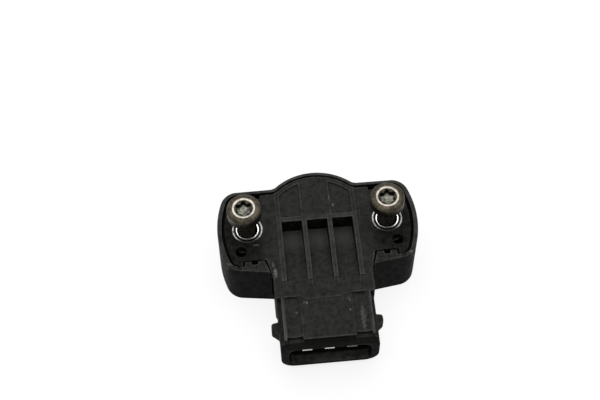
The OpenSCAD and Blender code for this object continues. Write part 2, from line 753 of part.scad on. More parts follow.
// A split pair of spring fingers that rises from the arm to a track of radius track_r
module finger_pair(track_r, reach) {
    pair_x = sqrt(pow(track_r, 2) - pow(reach, 2)) - finger_w - finger_gap / 2;
    bend_y = arm_front_w + 0.2;
    for (side = [0, 1])
        translate([pair_x + finger_w + side * (finger_w + finger_gap), 0, 0]) rotate([90, 0, -90])
            linear_extrude(finger_w)
                polygon([[0, disc_top_z], [-bend_y, disc_top_z], [-reach + 0.2, wiper_tip_z - wiper_t],
                         [-reach - 0.2, wiper_tip_z - wiper_t - 0.05], [-reach - 0.2, wiper_tip_z - 0.05],
                         [-reach, wiper_tip_z], [-reach + 0.2, wiper_tip_z],
                         [-bend_y, disc_top_z + wiper_t], [0, disc_top_z + wiper_t]]);
}

module wiper() color([0.8, 0.6, 0.3]) {
    rotate([0, 0, wiper_angle]) {
        difference() {
            union() {
                rod(wiper_ring_d, disc_top_z, disc_top_z + wiper_t);
                block([0, -arm_back_w, disc_top_z], [outer_track_r - 0.5, arm_front_w, disc_top_z + wiper_t]);
            }
            rod(boss_d + 2 * fit_gap, 0, body_h);
        }
        finger_pair(outer_track_r, outer_reach);
        finger_pair(inner_track_r, inner_reach);
    }
}

module thrust_washer() color([0.7, 0.7, 0.68]) {
    difference() {
        rod(bearing_d - 0.1, bearing_z, bearing_z + washer_t);
        rod(hub_d + 0.2, 0, body_h);
    }
}

// Centre line of the return spring: fixed leg, coils, then the leg at the tab
spring_to = tab_angle + 360 * coil_turns + asin((tab_w + wire_d) / 2 / leg_seat_r) + 1.4;
spring_low = floor_t + wire_d / 2 + 0.03;
spring_high = disc_z - wire_d / 2 - 0.03;
spring_steps = 84;
spring_path = concat(
    [[leg_seat_r + 0.9, leg_angle, spring_low], [coil_r + 0.6, leg_angle, spring_low]],
    [for (i = [0:spring_steps]) let (t = i / spring_steps)
        [coil_r, leg_angle + 2 + (spring_to - leg_angle - 4) * t,
         spring_low + (spring_high - spring_low) * t]],
    [[coil_r + 0.6, spring_to, spring_high], [leg_seat_r + 0.8, spring_to, spring_high]]);

// A round wire swept along points given as radius, angle and height
module wire(path, d, sides) {
    at = [for (p = path) [p.x * cos(p.y), p.x * sin(p.y), p.z]];
    n = len(at);
    rings = [for (i = [0:n - 1])
        let (dir = at[min(i + 1, n - 1)] - at[max(i - 1, 0)],
             side = cross(dir, [0, 0, 1]) / norm(cross(dir, [0, 0, 1])),
             up = cross(side, dir) / norm(dir))
        [for (k = [0:sides - 1]) let (a = 360 * k / sides) at[i] + d / 2 * (cos(a) * side + sin(a) * up)]];
    polyhedron(
        points = [for (ring = rings) each ring],
        faces = concat([[for (k = [0:sides - 1]) k]],
                       [for (i = [0:n - 2]) for (k = [0:sides - 1])
                           [i * sides + k, (i + 1) * sides + k,
                            (i + 1) * sides + (k + 1) % sides, i * sides + (k + 1) % sides]],
                       [[for (k = [sides - 1:-1:0]) (n - 1) * sides + k]]));
}

module return_spring() color([0.6, 0.6, 0.6]) wire(spring_path, wire_d, 8);

module shaft_seal() color([0.1, 0.1, 0.11]) {
    difference() {
        rod(lip_d, pilot_depth, pilot_depth + lip_h);
        rod(hub_d + 0.06, 0, body_h);
    }
}

module face_seal() color([0.1, 0.1, 0.11]) {
    rotate_extrude($fn = round_fn)
        translate([seal_r, seal_d / 2 + 0.08]) circle(d = seal_d, $fn = 32);
}

housing();
cover();
cover_sealant();
translate([-screw_x, 0, 0]) bush();  // bush_left
translate([screw_x, 0, 0]) bush();  // bush_right
translate([-screw_x, 0, 0]) sleeve();  // sleeve_left
translate([screw_x, 0, 0]) sleeve();  // sleeve_right
translate([-screw_x, 0, 0]) screw(left_lean);  // screw_left
translate([screw_x, 0, 0]) screw(right_lean);  // screw_right
terminal(-1);  // terminal_1
terminal(0);  // terminal_2
terminal(1);  // terminal_3
track_board();
resistive_track();
collector_track();
rotor();
wiper();
thrust_washer();
return_spring();
shaft_seal();
face_seal();
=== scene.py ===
"""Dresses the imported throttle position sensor: finishes, rounded edges, threads, camera and light.

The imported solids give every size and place. This script rounds the edges of the moulded and
pressed pieces, cuts the screws' threads and recesses, sweeps the return spring, gives each
piece the finish that its real material has, and sets up a plain studio.
"""

from __future__ import annotations

import heapq
import logging
import math
from collections.abc import Iterator
from contextlib import contextmanager
from dataclasses import dataclass, field
from enum import Enum, IntEnum
from functools import cached_property
from typing import Any

import bmesh
import bpy
import mathutils
import numpy as np
from bmesh.types import BMEdge, BMesh, BMFace, BMLayerItem, BMVert
from bpy.types import Material, Mesh, Node, NodeSocket, NodeTree, Object, Scene
from mathutils import Matrix, Vector, kdtree
from mathutils.bvhtree import BVHTree

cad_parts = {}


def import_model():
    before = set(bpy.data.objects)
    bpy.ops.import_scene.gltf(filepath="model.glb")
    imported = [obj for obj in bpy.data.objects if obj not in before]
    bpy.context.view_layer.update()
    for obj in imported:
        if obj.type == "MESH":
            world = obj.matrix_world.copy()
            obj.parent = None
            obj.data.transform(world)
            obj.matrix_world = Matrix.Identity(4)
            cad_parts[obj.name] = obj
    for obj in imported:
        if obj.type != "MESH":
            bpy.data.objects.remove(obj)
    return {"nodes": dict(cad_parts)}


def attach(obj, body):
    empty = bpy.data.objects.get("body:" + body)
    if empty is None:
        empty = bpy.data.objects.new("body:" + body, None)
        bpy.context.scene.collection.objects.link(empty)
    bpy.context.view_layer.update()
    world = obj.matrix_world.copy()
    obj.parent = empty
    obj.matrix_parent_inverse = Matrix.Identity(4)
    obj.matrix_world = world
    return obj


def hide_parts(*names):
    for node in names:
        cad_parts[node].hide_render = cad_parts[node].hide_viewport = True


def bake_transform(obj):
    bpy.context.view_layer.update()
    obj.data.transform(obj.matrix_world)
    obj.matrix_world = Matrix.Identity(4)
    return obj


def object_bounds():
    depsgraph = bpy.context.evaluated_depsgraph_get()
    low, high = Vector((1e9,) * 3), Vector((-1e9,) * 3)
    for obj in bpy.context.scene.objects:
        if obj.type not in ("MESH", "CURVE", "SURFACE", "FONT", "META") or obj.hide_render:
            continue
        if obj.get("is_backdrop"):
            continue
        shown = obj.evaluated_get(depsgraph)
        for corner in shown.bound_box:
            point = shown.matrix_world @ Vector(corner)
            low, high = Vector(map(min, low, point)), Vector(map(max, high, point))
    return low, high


LOG = logging.getLogger("sensor")
MM = 0.001
TOUCHING = 1e-7
WEAR = "wear"
BEVELLED = 1
OUTWARD_LEAN = -0.05
NOWHERE = 99.0
WHITE = (1, 1, 1, 1)


class Body(str, Enum):
    """The two bodies of the sensor that pieces ride on."""

    CASING = "casing"
    ROTOR_SET = "rotor_set"


def linear(hex_colour: str) -> tuple[float, float, float, float]:
    """Turn an sRGB colour into the linear colour that the shaders take.

    Args:
        hex_colour: Six hex digits after a hash mark.

    Returns:
        Red, green, blue and an alpha of one, linear.
    """
    values = [int(hex_colour[i:i + 2], 16) / 255 for i in (1, 3, 5)]
    parts = [v / 12.92 if v <= 0.04045 else ((v + 0.055) / 1.055) ** 2.4 for v in values]
    return parts[0], parts[1], parts[2], 1.0


def add_node(tree: NodeTree, kind: str, inputs: dict[Any, Any] | None = None,
             **settings: Any) -> Node:
    """Add a node with its settings, values and links.

    Args:
        tree: The tree that takes the node.
        kind: The node's type name.
        inputs: Socket name or index to a constant, or to the value, socket or node that feeds
            it; a node feeds it from its first output.
        **settings: Properties of the node itself.

    Returns:
        The new node.
    """
    node = tree.nodes.new(kind)
    for name, value in settings.items():
        setattr(node, name, value)
    for name, value in (inputs or {}).items():
        source = value.socket if isinstance(value, Value) else value
        source = source.outputs[0] if isinstance(source, Node) else source
        if isinstance(source, NodeSocket):
            tree.links.new(source, node.inputs[name])
        else:
            node.inputs[name].default_value = source
    return node


@dataclass(frozen=True)
class Value:
    """Something that a node tree works out anew for each place of a piece."""

    tree: NodeTree
    socket: NodeSocket

    def worked(self, operation: str, other: Value | float = 0.0) -> Value:
        """Give what one sum makes of this value and another one."""
        made = add_node(self.tree, "ShaderNodeMath", {0: self, 1: other}, operation=operation)
        return Value(self.tree, made.outputs["Value"])

    def __add__(self, other: Value | float) -> Value:
        """Add another value."""
        return self.worked("ADD", other)

    def __sub__(self, other: Value | float) -> Value:
        """Take another value away."""
        return self.worked("SUBTRACT", other)

    def __mul__(self, other: Value | float) -> Value:
        """Multiply by another value."""
        return self.worked("MULTIPLY", other)

    def __truediv__(self, other: Value | float) -> Value:
        """Divide by another value."""
        return self.worked("DIVIDE", other)

    def __abs__(self) -> Value:
        """Drop the sign."""
        return self.worked("ABSOLUTE")

    def rise(self, start: float, end: float, low: float = 0.0, high: float = 1.0) -> Value:
        """Give the share that goes from low to high while this value goes from start to end.

        Args:
            start: Value up to which the share is low.
            end: Value from which the share is high.
            low: Share at the start.
            high: Share at the end.

        Returns:
            The share, held between low and high.
        """
        node = add_node(self.tree, "ShaderNodeMapRange", {
            "Value": self, "From Min": start, "From Max": end, "To Min": low, "To Max": high})
        return Value(self.tree, node.outputs["Result"])

    def above(self, level: float, blur: float = 0.2) -> Value:
        """Give 0 up to a level, and 1 from where the blur over it ends."""
        return self.rise(level, level + blur)

    def below(self, level: float, blur: float = 0.2) -> Value:
        """Give 1 up to a level, and 0 from where the blur over it ends."""
        return self.rise(level, level + blur, 1, 0)


@dataclass
class Skin:
    """A new material, read in millimetres and painted layer by layer.

    Attributes:
        name: The material's name.
    """

    name: str

    def __post_init__(self) -> None:
        """Make the material, with a tree that reads only the surface's own coordinates."""
        self.material = bpy.data.materials.new(self.name)
        self.material.use_nodes = True
        self.tree = self.material.node_tree
        self.tree.nodes.clear()
        self.coordinates = add_node(self.tree, "ShaderNodeTexCoord").outputs

    @cached_property
    def at(self) -> list[Value]:
        """Give the place on the sensor along X, Y and Z, in millimetres.

        Returns:
            The three values.
        """
        scaled = add_node(self.tree, "ShaderNodeVectorMath", {
            0: self.coordinates["Object"], 1: (1 / MM, 1 / MM, 1 / MM)}, operation="MULTIPLY")
        parts = add_node(self.tree, "ShaderNodeSeparateXYZ", {"Vector": scaled})
        return [Value(self.tree, part) for part in parts.outputs]

    @cached_property
    def up(self) -> Value:
        """Give how far the surface looks up, from -1 to 1."""
        parts = add_node(self.tree, "ShaderNodeSeparateXYZ", {"Vector": self.coordinates["Normal"]})
        return Value(self.tree, parts.outputs["Z"])

    def noise(self, size_mm: float, detail: float = 2.0,
              stretch: tuple[float, float, float] = (1, 1, 1)) -> Value:
        """Give a noise with features of one size.

        Args:
            size_mm: Size of the features.
            detail: Octaves of finer noise on top.
            stretch: Scale of the pattern along X, Y and Z.

        Returns:
            The noise, from 0 to 1.
        """
        place = add_node(self.tree, "ShaderNodeMapping", {
            "Vector": self.coordinates["Object"], "Scale": stretch})
        noise = add_node(self.tree, "ShaderNodeTexNoise", {
            "Vector": place, "Scale": 1 / (size_mm * MM), "Detail": detail})
        return Value(self.tree, noise.outputs["Fac"])

    def painted(self, ground: str, layers: list[tuple[Value, str]]) -> Any:
        """Lay colours over a ground, one after the other.

        Args:
            ground: Colour of the ground.
            layers: Share and colour of each layer.

        Returns:
            The socket that gives the colour.
        """
        colour: Any = linear(ground)
        for share, tint in layers:
            colour = add_node(self.tree, "ShaderNodeMix", {0: share, 6: colour, 7: linear(tint)},
                              data_type="RGBA").outputs[2]
        return colour

    def closed(self, inputs: dict[str, Any], relief: Value, depth_mm: float,
               strength: float = 0.6) -> Material:
        """Close the tree with a shader over a fine relief.

        Args:
            inputs: The shader's other inputs.
            relief: Height of the relief, from 0 to 1.
            depth_mm: Depth of the relief.
            strength: How much of it shows.

        Returns:
            The finished material.
        """
        bump = add_node(self.tree, "ShaderNodeBump", {
            "Strength": strength, "Distance": depth_mm * MM, "Height": relief})
        shader = add_node(self.tree, "ShaderNodeBsdfPrincipled", {**inputs, "Normal": bump})
        add_node(self.tree, "ShaderNodeOutputMaterial", {"Surface": shader})
        return self.material


@dataclass(frozen=True)
class KnockOrHighlight:
    """A place where the skin is pale: where a knock has left it, or a painted highlight.

    Attributes:
        x_mm: Where it is across the sensor.
        y_mm: Where it is along the sensor.
        reach_mm: Half its size across and along.
        amount: How far it pales the skin.
    """

    x_mm: float
    y_mm: float
    reach_mm: tuple[float, float]
    amount: float


@dataclass(frozen=True)
class GlassFilledPolyester:
    """Black glass-filled polyester, injection moulded and long in use.

    Fibres just under the skin mottle it, dust with painted top light pales the faces that look up,
    and handling has scuffed its edges and highest parts grey. Painted shade darkens the collar
    round the mouth, the depths of the socket and the wings. Painted light pales the mouth's floor
    and the deep floors of the pockets, and painted highlights streak the deck. It is dull, so its
    gloss is far weaker than a fresh moulding's.
    """

    name: str
    skin: str = "#10100f"
    cloudy: str = "#272725"
    dust_and_top_light: str = "#3e3e3c"
    # colour of real scuffs, also used for painted light and painted highlights
    scuff_and_painted_light: str = "#70706d"
    dust: str = "#6f6f6b"
    rubbed: str = "#434341"
    collar_shade: str = "#151514"
    unlit: str = "#020202"
    dust_and_top_light_amount: float = 0.46
    scuff_amount: float = 0.8
    edge_amount: float = 0.5
    collar_shade_amount: float = 0.92
    unlit_amount: float = 0.85
    pocket_painted_light: float = 0.42
    edge_mm: float = 0.45
    rubbed_above_mm: float = NOWHERE
    rubbed_along_mm: tuple[float, float] = (-NOWHERE, NOWHERE)
    highlight_from_mm: float = NOWHERE
    highlight_beside_mm: float = 9.1
    highlight_above_mm: float = 11.8
    wing_shade_beside_mm: float = 12.0
    collar_shade_from_mm: float = 28.25
    mouth_from_mm: float = 19.0
    mouth_floor_mm: float = 4.0
    socket_beside_mm: float = 9.4
    socket_z_mm: tuple[float, float] = (3.2, 10.8)
    socket_from_mm: float = 27.3
    socket_back_mm: float = 18.3
    pocket_z_mm: tuple[float, float] = (8.6, 10.6)
    pocket_from_mm: float = 15.5
    knocks_and_highlights: tuple[KnockOrHighlight, ...] = ()
    pale_above_mm: float = 11.8
    cloud_mm: float = 1.3
    fibre_mm: float = 0.28  # coarser than the real fibres, so that they show
    speck_mm: float = 0.42
    scratch_mm: float = 0.5
    chip_mm: float = 0.6
    grain_mm: float = 0.16  # coarser than the mould's real grain, so that it shows
    grain_depth_mm: float = 0.02
    roughness: tuple[float, float] = (0.62, 0.5)
    ior: float = 1.08

    def material(self) -> Material:
        """Build the material: clouded skin, dust with painted top light, zones of wear, painted light and
        shade, scratches and moulded grain.

        Returns:
            The finished material.
        """
        skin = Skin(self.name)
        across, along, _ = skin.at
        front, beside = -self.collar_shade_from_mm, self.wing_shade_beside_mm
        clouds = skin.noise(self.cloud_mm, 4).rise(0.36, 0.66)
        # painted shade: beyond the given distance the wings get less of the paler layers
        wing_shade_factor = abs(across).rise(beside, beside + 2, 1, 0.15)
        # dust with painted top light: faces that look up are paler
        dust_and_top_light = (wing_shade_factor * skin.up.rise(0.3, 0.95, 0, self.dust_and_top_light_amount)
                * skin.noise(self.cloud_mm * 0.75, 5).rise(0.36, 0.64, 0.6, 1.4))
        colour = skin.painted(self.skin, [
            (clouds, self.cloudy),
            (skin.noise(self.fibre_mm, 2, (1, 0.35, 1)).rise(0.5, 0.75, 0, 0.45), self.cloudy),
            (dust_and_top_light, self.dust_and_top_light),
            (skin.noise(self.scratch_mm, 3, (2.2, 0.12, 1)).rise(0.66, 0.74, 0, 0.3), self.scuff_and_painted_light),
            (skin.noise(self.speck_mm, 2).rise(0.66, 0.8, 0, 0.3), self.dust),
            (self._handled(skin), self.rubbed),
            # painted highlights: streaks along the deck's outer ribs
            (self._painted_channel_highlights(skin), self.scuff_and_painted_light),
            (self._worn(skin) * wing_shade_factor, self.scuff_and_painted_light),
            # painted shade: the collar round the mouth, near black
            (along.below(front - 0.15, 0.15) * self.collar_shade_amount, self.collar_shade),
            # painted light: the floor of the mouth is paler
            (self._painted_light_mouth(skin), self.scuff_and_painted_light),
            # painted light: the pockets' floors are paler where they are deepest
            (self._painted_light_pockets(skin), self.scuff_and_painted_light),
            # painted shade: near black deep in the socket
            (self._unlit_socket(skin), self.unlit),
            *((self._knock_or_highlight(skin, spot), self.scuff_and_painted_light) for spot in self.knocks_and_highlights)])
        grain = skin.noise(self.grain_mm, 2) + skin.noise(self.cloud_mm, 3) * 1.5
        return skin.closed({"Base Color": colour, "Roughness": clouds.rise(0, 1, *self.roughness),
                            "IOR": self.ior}, grain, self.grain_depth_mm)

    def _handled(self, skin: Skin) -> Value:
        """Give the share of rubbing on the highest parts, in patches.

        Args:
            skin: The material that is painted.

        Returns:
            The share, from 0 to 1.
        """
        _, along, height = skin.at
        level, (front, back) = self.rubbed_above_mm, self.rubbed_along_mm
        return (height.above(level - 0.1, 0.1) * along.below(back) * along.above(front - 1, 1)
                * skin.noise(self.cloud_mm * 2, 3).rise(0.36, 0.62, 0.2, 1))

    def _painted_channel_highlights(self, skin: Skin) -> Value:
        """Give the share of the painted highlight streaks on the deck beside the middle panel.

        Args:
            skin: The material that is painted.

        Returns:
            The share, from 0 to 1.
        """
        across, along, height = skin.at
        front, side, low = -self.highlight_from_mm, self.highlight_beside_mm, self.highlight_above_mm
        return (along.below(front - 1, 1) * abs(across).above(side, 0.3) * height.above(low, 0.3)
                * skin.noise(self.cloud_mm, 2, (1, 0.05, 0.3)).rise(0.4, 0.62, 0.1, 0.6))

    def _painted_light_mouth(self, skin: Skin) -> Value:
        """Give the share of painted light on the floor of the connector's mouth.

        Args:
            skin: The material that is painted.

        Returns:
            The share, from 0 to 1.
        """
        _, along, height = skin.at
        front, floor = -self.mouth_from_mm, self.mouth_floor_mm
        return (along.below(front - 1, 1) * height.below(floor) * skin.up.rise(0.3, 0.8)
                * skin.noise(self.cloud_mm, 4).rise(0.34, 0.66, 0.12, 0.45))

    def _painted_light_pockets(self, skin: Skin) -> Value:
        """Give the share of painted light on the pockets' floors, most where they are deepest.

        Args:
            skin: The material that is painted.

        Returns:
            The share, from 0 to 1.
        """
        across, along, height = skin.at
        (low, high), front, side = self.pocket_z_mm, -self.pocket_from_mm, self.socket_beside_mm
        return (along.above(front, 0.5) * abs(across).below(side)
                * height.rise(low, high, self.pocket_painted_light, 0) * skin.up.rise(0.5, 0.8))

    def _unlit_socket(self, skin: Skin) -> Value:
        """Give the share of painted shade deep in the socket.

        Args:
            skin: The material that is painted.

        Returns:
            The share, from 0 to 1.
        """
        across, along, height = skin.at
        (low, high), side = self.socket_z_mm, self.socket_beside_mm
        front, back = -self.socket_from_mm, -self.socket_back_mm
        return (height.above(low - 0.2) * height.below(high) * abs(across).below(side)
                * along.above(front - 0.4, 0.4) * along.below(back) * self.unlit_amount)

    def _knock_or_highlight(self, skin: Skin, spot: KnockOrHighlight) -> Value:
        """Give the share of one pale spot, a knock or a painted highlight, ragged at its edge.

        Args:
            skin: The material that is painted.
            spot: Its place and size.

        Returns:
            The share, from 0 to 1.
        """
        across, along, height = skin.at
        across, along = (across - spot.x_mm) / spot.reach_mm[0], (along - spot.y_mm) / spot.reach_mm[1]
        away = across * across + along * along + skin.noise(self.chip_mm, 3).rise(0.35, 0.65, -0.6, 0.6)
        return height.above(self.pale_above_mm, 0.4) * away.rise(0.3, 1.0, spot.amount, 0)

    def _worn(self, skin: Skin) -> Value:
        """Give the share of scuffing along outward edges: strong on the ridge, weaker beside it.

        Args:
            skin: The material that is painted.

        Returns:
            The share, from 0 to 1.
        """
        ridge = Value(skin.tree, add_node(skin.tree, "ShaderNodeAttribute",
                                          attribute_name=WEAR).outputs["Fac"])
        patchy = skin.noise(self.cloud_mm, 4).rise(0.36, 0.6, 0.35, self.scuff_amount)
        depth = Value(skin.tree, add_node(
            skin.tree, "ShaderNodeAmbientOcclusion", {"Distance": self.edge_mm * MM},
            samples=8, inside=True, only_local=True).outputs["AO"])
        beside = depth.rise(0.6, 0.95, self.edge_amount, 0) * patchy
        return (ridge * patchy).worked("MAXIMUM", beside)


@dataclass(frozen=True)
class WorkedMetal:
    """Metal, turned, pressed or printed: bright where rubbed, dull and stained elsewhere.

    Where a height is given, it is painted near black below that height and in front of the screws:
    painted shade, and a painted dark reflection on the rings' front.
    """

    name: str
    bright: str
    dull: str
    roughness: float = 0.32
    relief_mm: float = 0.01
    lit_above_mm: float | None = None
    lit_behind_mm: float = 2.7
    painted_shade: str = "#0b0a09"
    painted_shade_roughness: float = 0.7
    stain_mm: float = 0.9
    turned_mm: float = 0.07  # coarser than real tool marks, so that they show
    dent_mm: float = 0.35

    def material(self) -> Material:
        """Build the material: stains, and painted shade where a height is given, over fine tool marks that
        run round the piece.

        Returns:
            The finished material.
        """
        skin = Skin(self.name)
        layers = [(skin.noise(self.stain_mm, 4).rise(0.38, 0.64), self.dull)]
        rough = skin.noise(self.stain_mm * 0.5, 3).rise(
            0.3, 0.7, self.roughness * 0.75, self.roughness * 1.35)
        marks = skin.noise(self.turned_mm, 1, (0.15, 0.15, 1)) + skin.noise(self.dent_mm, 2)
        metal: Any = 1.0
        # painted shade: plain metal above the given height and behind the given line, near black elsewhere
        if self.lit_above_mm is not None:
            _, along, height = skin.at
            metal = (height.above(self.lit_above_mm - 0.05, 0.05)
                     * along.above(-self.lit_behind_mm, 0.8))
            layers.append((metal.rise(0, 1, 1, 0), self.painted_shade))
            rough = rough.worked("MAXIMUM", metal.rise(0, 1, self.painted_shade_roughness, 0))
        return skin.closed({"Base Color": skin.painted(self.bright, layers), "Metallic": metal,
                            "Roughness": rough}, marks, self.relief_mm, 0.5)


@dataclass(frozen=True)
class DullSolid:
    """A dull non-metal such as rubber, sealant, ceramic, ink or natural acetal.

    It scatters the light evenly, over a fine grain and two tones that lie close together.
    """

    name: str
    main: str
    second: str
    roughness: float = 0.7
    ior: float = 1.45
    cloud_mm: float = 0.8
    grain_mm: float = 0.12
    grain_depth_mm: float = 0.012

    def material(self) -> Material:
        """Build the material.

        Returns:
            The finished material.
        """
        skin = Skin(self.name)
        clouds = skin.noise(self.cloud_mm, 4).rise(0.35, 0.65)
        rough = skin.noise(self.cloud_mm * 0.4, 2).rise(
            0.3, 0.7, self.roughness * 0.88, min(1.0, self.roughness * 1.1))
        return skin.closed({"Base Color": skin.painted(self.main, [(clouds, self.second)]),
                            "Roughness": rough, "IOR": self.ior},
                           skin.noise(self.grain_mm, 2), self.grain_depth_mm)


FINISHES = {
    "housing_plastic": GlassFilledPolyester(
        "black_polyester_cup", skin="#0f0f0e", cloudy="#1a1a19", scuff_and_painted_light="#666663", rubbed="#464644",
        rubbed_above_mm=13.75, rubbed_along_mm=(-7.6, NOWHERE), wing_shade_beside_mm=NOWHERE, knocks_and_highlights=(
            KnockOrHighlight(20.3, -9.4, (0.5, 0.35), 1.0), KnockOrHighlight(-20.7, -8.9, (1.6, 0.5), 0.5),
            KnockOrHighlight(-12.2, 11.5, (1.5, 0.4), 0.4))),
    "cover_plastic": GlassFilledPolyester(
        "black_polyester_lid", rubbed="#3e3e3c", scuff_amount=0.66, rubbed_above_mm=13.45,
        rubbed_along_mm=(-NOWHERE, 2.3), highlight_from_mm=17.6, knocks_and_highlights=(
            KnockOrHighlight(-10.55, -11.7, (0.4, 1.3), 0.95), KnockOrHighlight(-10.9, -9.5, (0.3, 0.9), 0.5),
            KnockOrHighlight(12.1, -8.9, (0.5, 0.3), 0.5), KnockOrHighlight(-6.73, -21.5, (0.22, 0.22), 0.7),
            KnockOrHighlight(5.05, -22.0, (0.25, 0.3), 0.6), KnockOrHighlight(-4.32, -19.5, (0.22, 0.35), 0.9),
            KnockOrHighlight(5.24, -19.7, (0.22, 0.35), 0.8), KnockOrHighlight(3.4, 6.5, (0.25, 0.9), 0.5),
            KnockOrHighlight(4.05, 4.75, (0.3, 0.4), 0.6), KnockOrHighlight(-14.2, -4.2, (0.8, 0.3), 0.5),
            # painted highlight: a streak of sheen in the right channel
            KnockOrHighlight(7.85, -24.0, (0.6, 3.2), 0.36))),
    "sealant": DullSolid("sealing_compound", "#070707", "#0d0d0d", 0.6, 1.1),
    # painted shade: bush and sleeve are painted near black below 13.19 mm and in front of the screws
    "bush_steel": WorkedMetal("stained_plated_steel", "#a3a29f", "#6a6966", 0.36, 0.002, 13.19, 3.0),
    "screw_steel": WorkedMetal("yellowed_zinc_plate", "#4b463c", "#322e27", 0.42),
    "tinned_blade": WorkedMetal("tinned_brass", "#f2f2f0", "#e4e3de", 0.24, 0.001),
    # painted shade: a darker copy of the tinned blade, for the blade that lies in shade
    "blade_in_painted_shade": WorkedMetal("tinned_brass_in_painted_shade", "#8e8e8a", "#666662", 0.42, 0.002),
    "board_ceramic": DullSolid("alumina_board", "#e2ded2", "#d2cdbf", 0.75),
    "carbon_ink": DullSolid("carbon_track_ink", "#1c1c1e", "#26262a", 0.55),
    "silver_ink": WorkedMetal("silver_track_ink", "#b9b5aa", "#98948a", 0.5),
    "rotor_plastic": DullSolid("natural_acetal", "#d9cfb4", "#c9bd9e", 0.5, 1.48),
    "wiper_bronze": WorkedMetal("spring_bronze", "#c99a55", "#a87a3c", 0.28),
    "washer_steel": WorkedMetal("plain_washer_steel", "#a9a8a4", "#8b8a85", 0.36),
    "spring_steel": WorkedMetal("drawn_spring_wire", "#8d8d8b", "#6a6a67", 0.3),
    "seal_rubber": DullSolid("moulded_rubber", "#141415", "#1f1f20", 0.65, 1.15),
    "worn_flat": WorkedMetal("zinc_plate_rubbed_bright", "#aaa59d", "#847e75", 0.3, 0.004),
    "sleeve_steel": WorkedMetal("bright_plated_steel", "#f0efec", "#d6d5d1", 0.2, 0.0015, 13.19),
    # oil-blackened, and darker still as painted shade: the thread and the recess's lobes
    "shaded_oily_thread": WorkedMetal("oil_blackened_steel_in_painted_shade", "#1f1c18", "#12110f", 0.5),
    "recess_floor": WorkedMetal("zinc_plate_under_the_driver", "#7e7e74", "#565650", 0.5),
}


@dataclass
class Workshop:
    """What every sub-assembly is made with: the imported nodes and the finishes.

    Attributes:
        nodes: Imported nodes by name.
        made: Materials made so far, by slot name.
    """

    nodes: dict[str, Object]
    made: dict[str, Material] = field(default_factory=dict)

    def finish(self, slot: str) -> Material:
        """Give the material of a slot, making it on first use.

        Args:
            slot: Name of the slot or of the look.

        Returns:
            Its material.
        """
        if slot not in self.made:
            self.made[slot] = FINISHES[slot].material()
        return self.made[slot]

    def dress(self, node: str, slot: str) -> None:
        """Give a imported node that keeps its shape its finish.

        Args:
            node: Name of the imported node.
            slot: Its material slot.
        """
        for place in self.nodes[node].material_slots:
            place.material = self.finish(slot)
        LOG.info("%s keeps its packed shape, in %s", node, slot)


def seat(piece: Object, body: Body, slot: str, *nodes: str) -> Object:
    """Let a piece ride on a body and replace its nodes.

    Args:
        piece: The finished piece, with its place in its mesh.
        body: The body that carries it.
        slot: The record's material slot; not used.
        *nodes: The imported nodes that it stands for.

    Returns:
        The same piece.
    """
    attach(piece, body.value)
    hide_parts(*nodes)
    LOG.info("%s rides on %s for %s: %d faces", piece.name, body.value, ", ".join(nodes),
             len(piece.data.polygons))
    return piece


def link_new(name: str, mesh: Mesh) -> Object:
    """Link a new object at the origin that holds the mesh.

    Args:
        name: The object's name.
        mesh: The mesh.

    Returns:
        The new object.
    """
    piece = bpy.data.objects.new(name, mesh)
    bpy.context.scene.collection.objects.link(piece)
    return piece


def bake(piece: Object) -> Mesh:
    """Turn what the piece's modifiers make of it into its plain mesh, and give that.

    Args:
        piece: The piece, which loses its modifiers.

    Returns:
        Its new mesh.
    """
    graph = bpy.context.evaluated_depsgraph_get()
    old, piece.data = piece.data, bpy.data.meshes.new_from_object(piece.evaluated_get(graph))
    piece.modifiers.clear()
    bpy.data.meshes.remove(old)
    return piece.data


def grown_by(tree: NodeTree, carrier: Object,
             values: dict[str, Any]) -> Mesh:
    """Run a geometry tree on an object and give what it makes as a plain mesh.

    Args:
        tree: The geometry node tree.
        carrier: The object that takes the modifier; it is removed.
        values: Input name to the value that it gets.

    Returns:
        The finished mesh.
    """
    modifier = carrier.modifiers.new(tree.name, "NODES")
    modifier.node_group = tree
    for item in tree.interface.items_tree:
        if getattr(item, "in_out", "") == "INPUT" and item.name in values:
            modifier[item.identifier] = values[item.name]
    mesh = bake(carrier)
    bpy.data.objects.remove(carrier)
    return mesh


def group_inputs(tree: NodeTree, sizes: dict[str, tuple[str, Any]]) -> dict[str, Value]:
    """Give a node group its named inputs and a geometry output.

    Args:
        tree: The new geometry node tree.
        sizes: Input name to its kind and default value.

    Returns:
        Input name to the value that the group gets there.
    """
    for name, (kind, value) in sizes.items():
        item = tree.interface.new_socket(name, in_out="INPUT", socket_type="NodeSocket" + kind)
        if value is not None:
            item.default_value = value
    tree.interface.new_socket("Geometry", in_out="OUTPUT", socket_type="NodeSocketGeometry")
    node = add_node(tree, "NodeGroupInput")
    return {name: Value(tree, node.outputs[name]) for name in sizes}


def close_shape(tree: NodeTree, shape: Node, finish: Value) -> None:
    """Make the tree's instances real, give the shape its finish and hand it out.

    Args:
        tree: The geometry node tree.
        shape: The node that makes the shape.
        finish: The input that holds its material.
    """
    made = add_node(tree, "GeometryNodeRealizeInstances", {"Geometry": shape})
    dressed = add_node(tree, "GeometryNodeSetMaterial", {"Geometry": made, "Material": finish})
    add_node(tree, "NodeGroupOutput", {"Geometry": dressed})


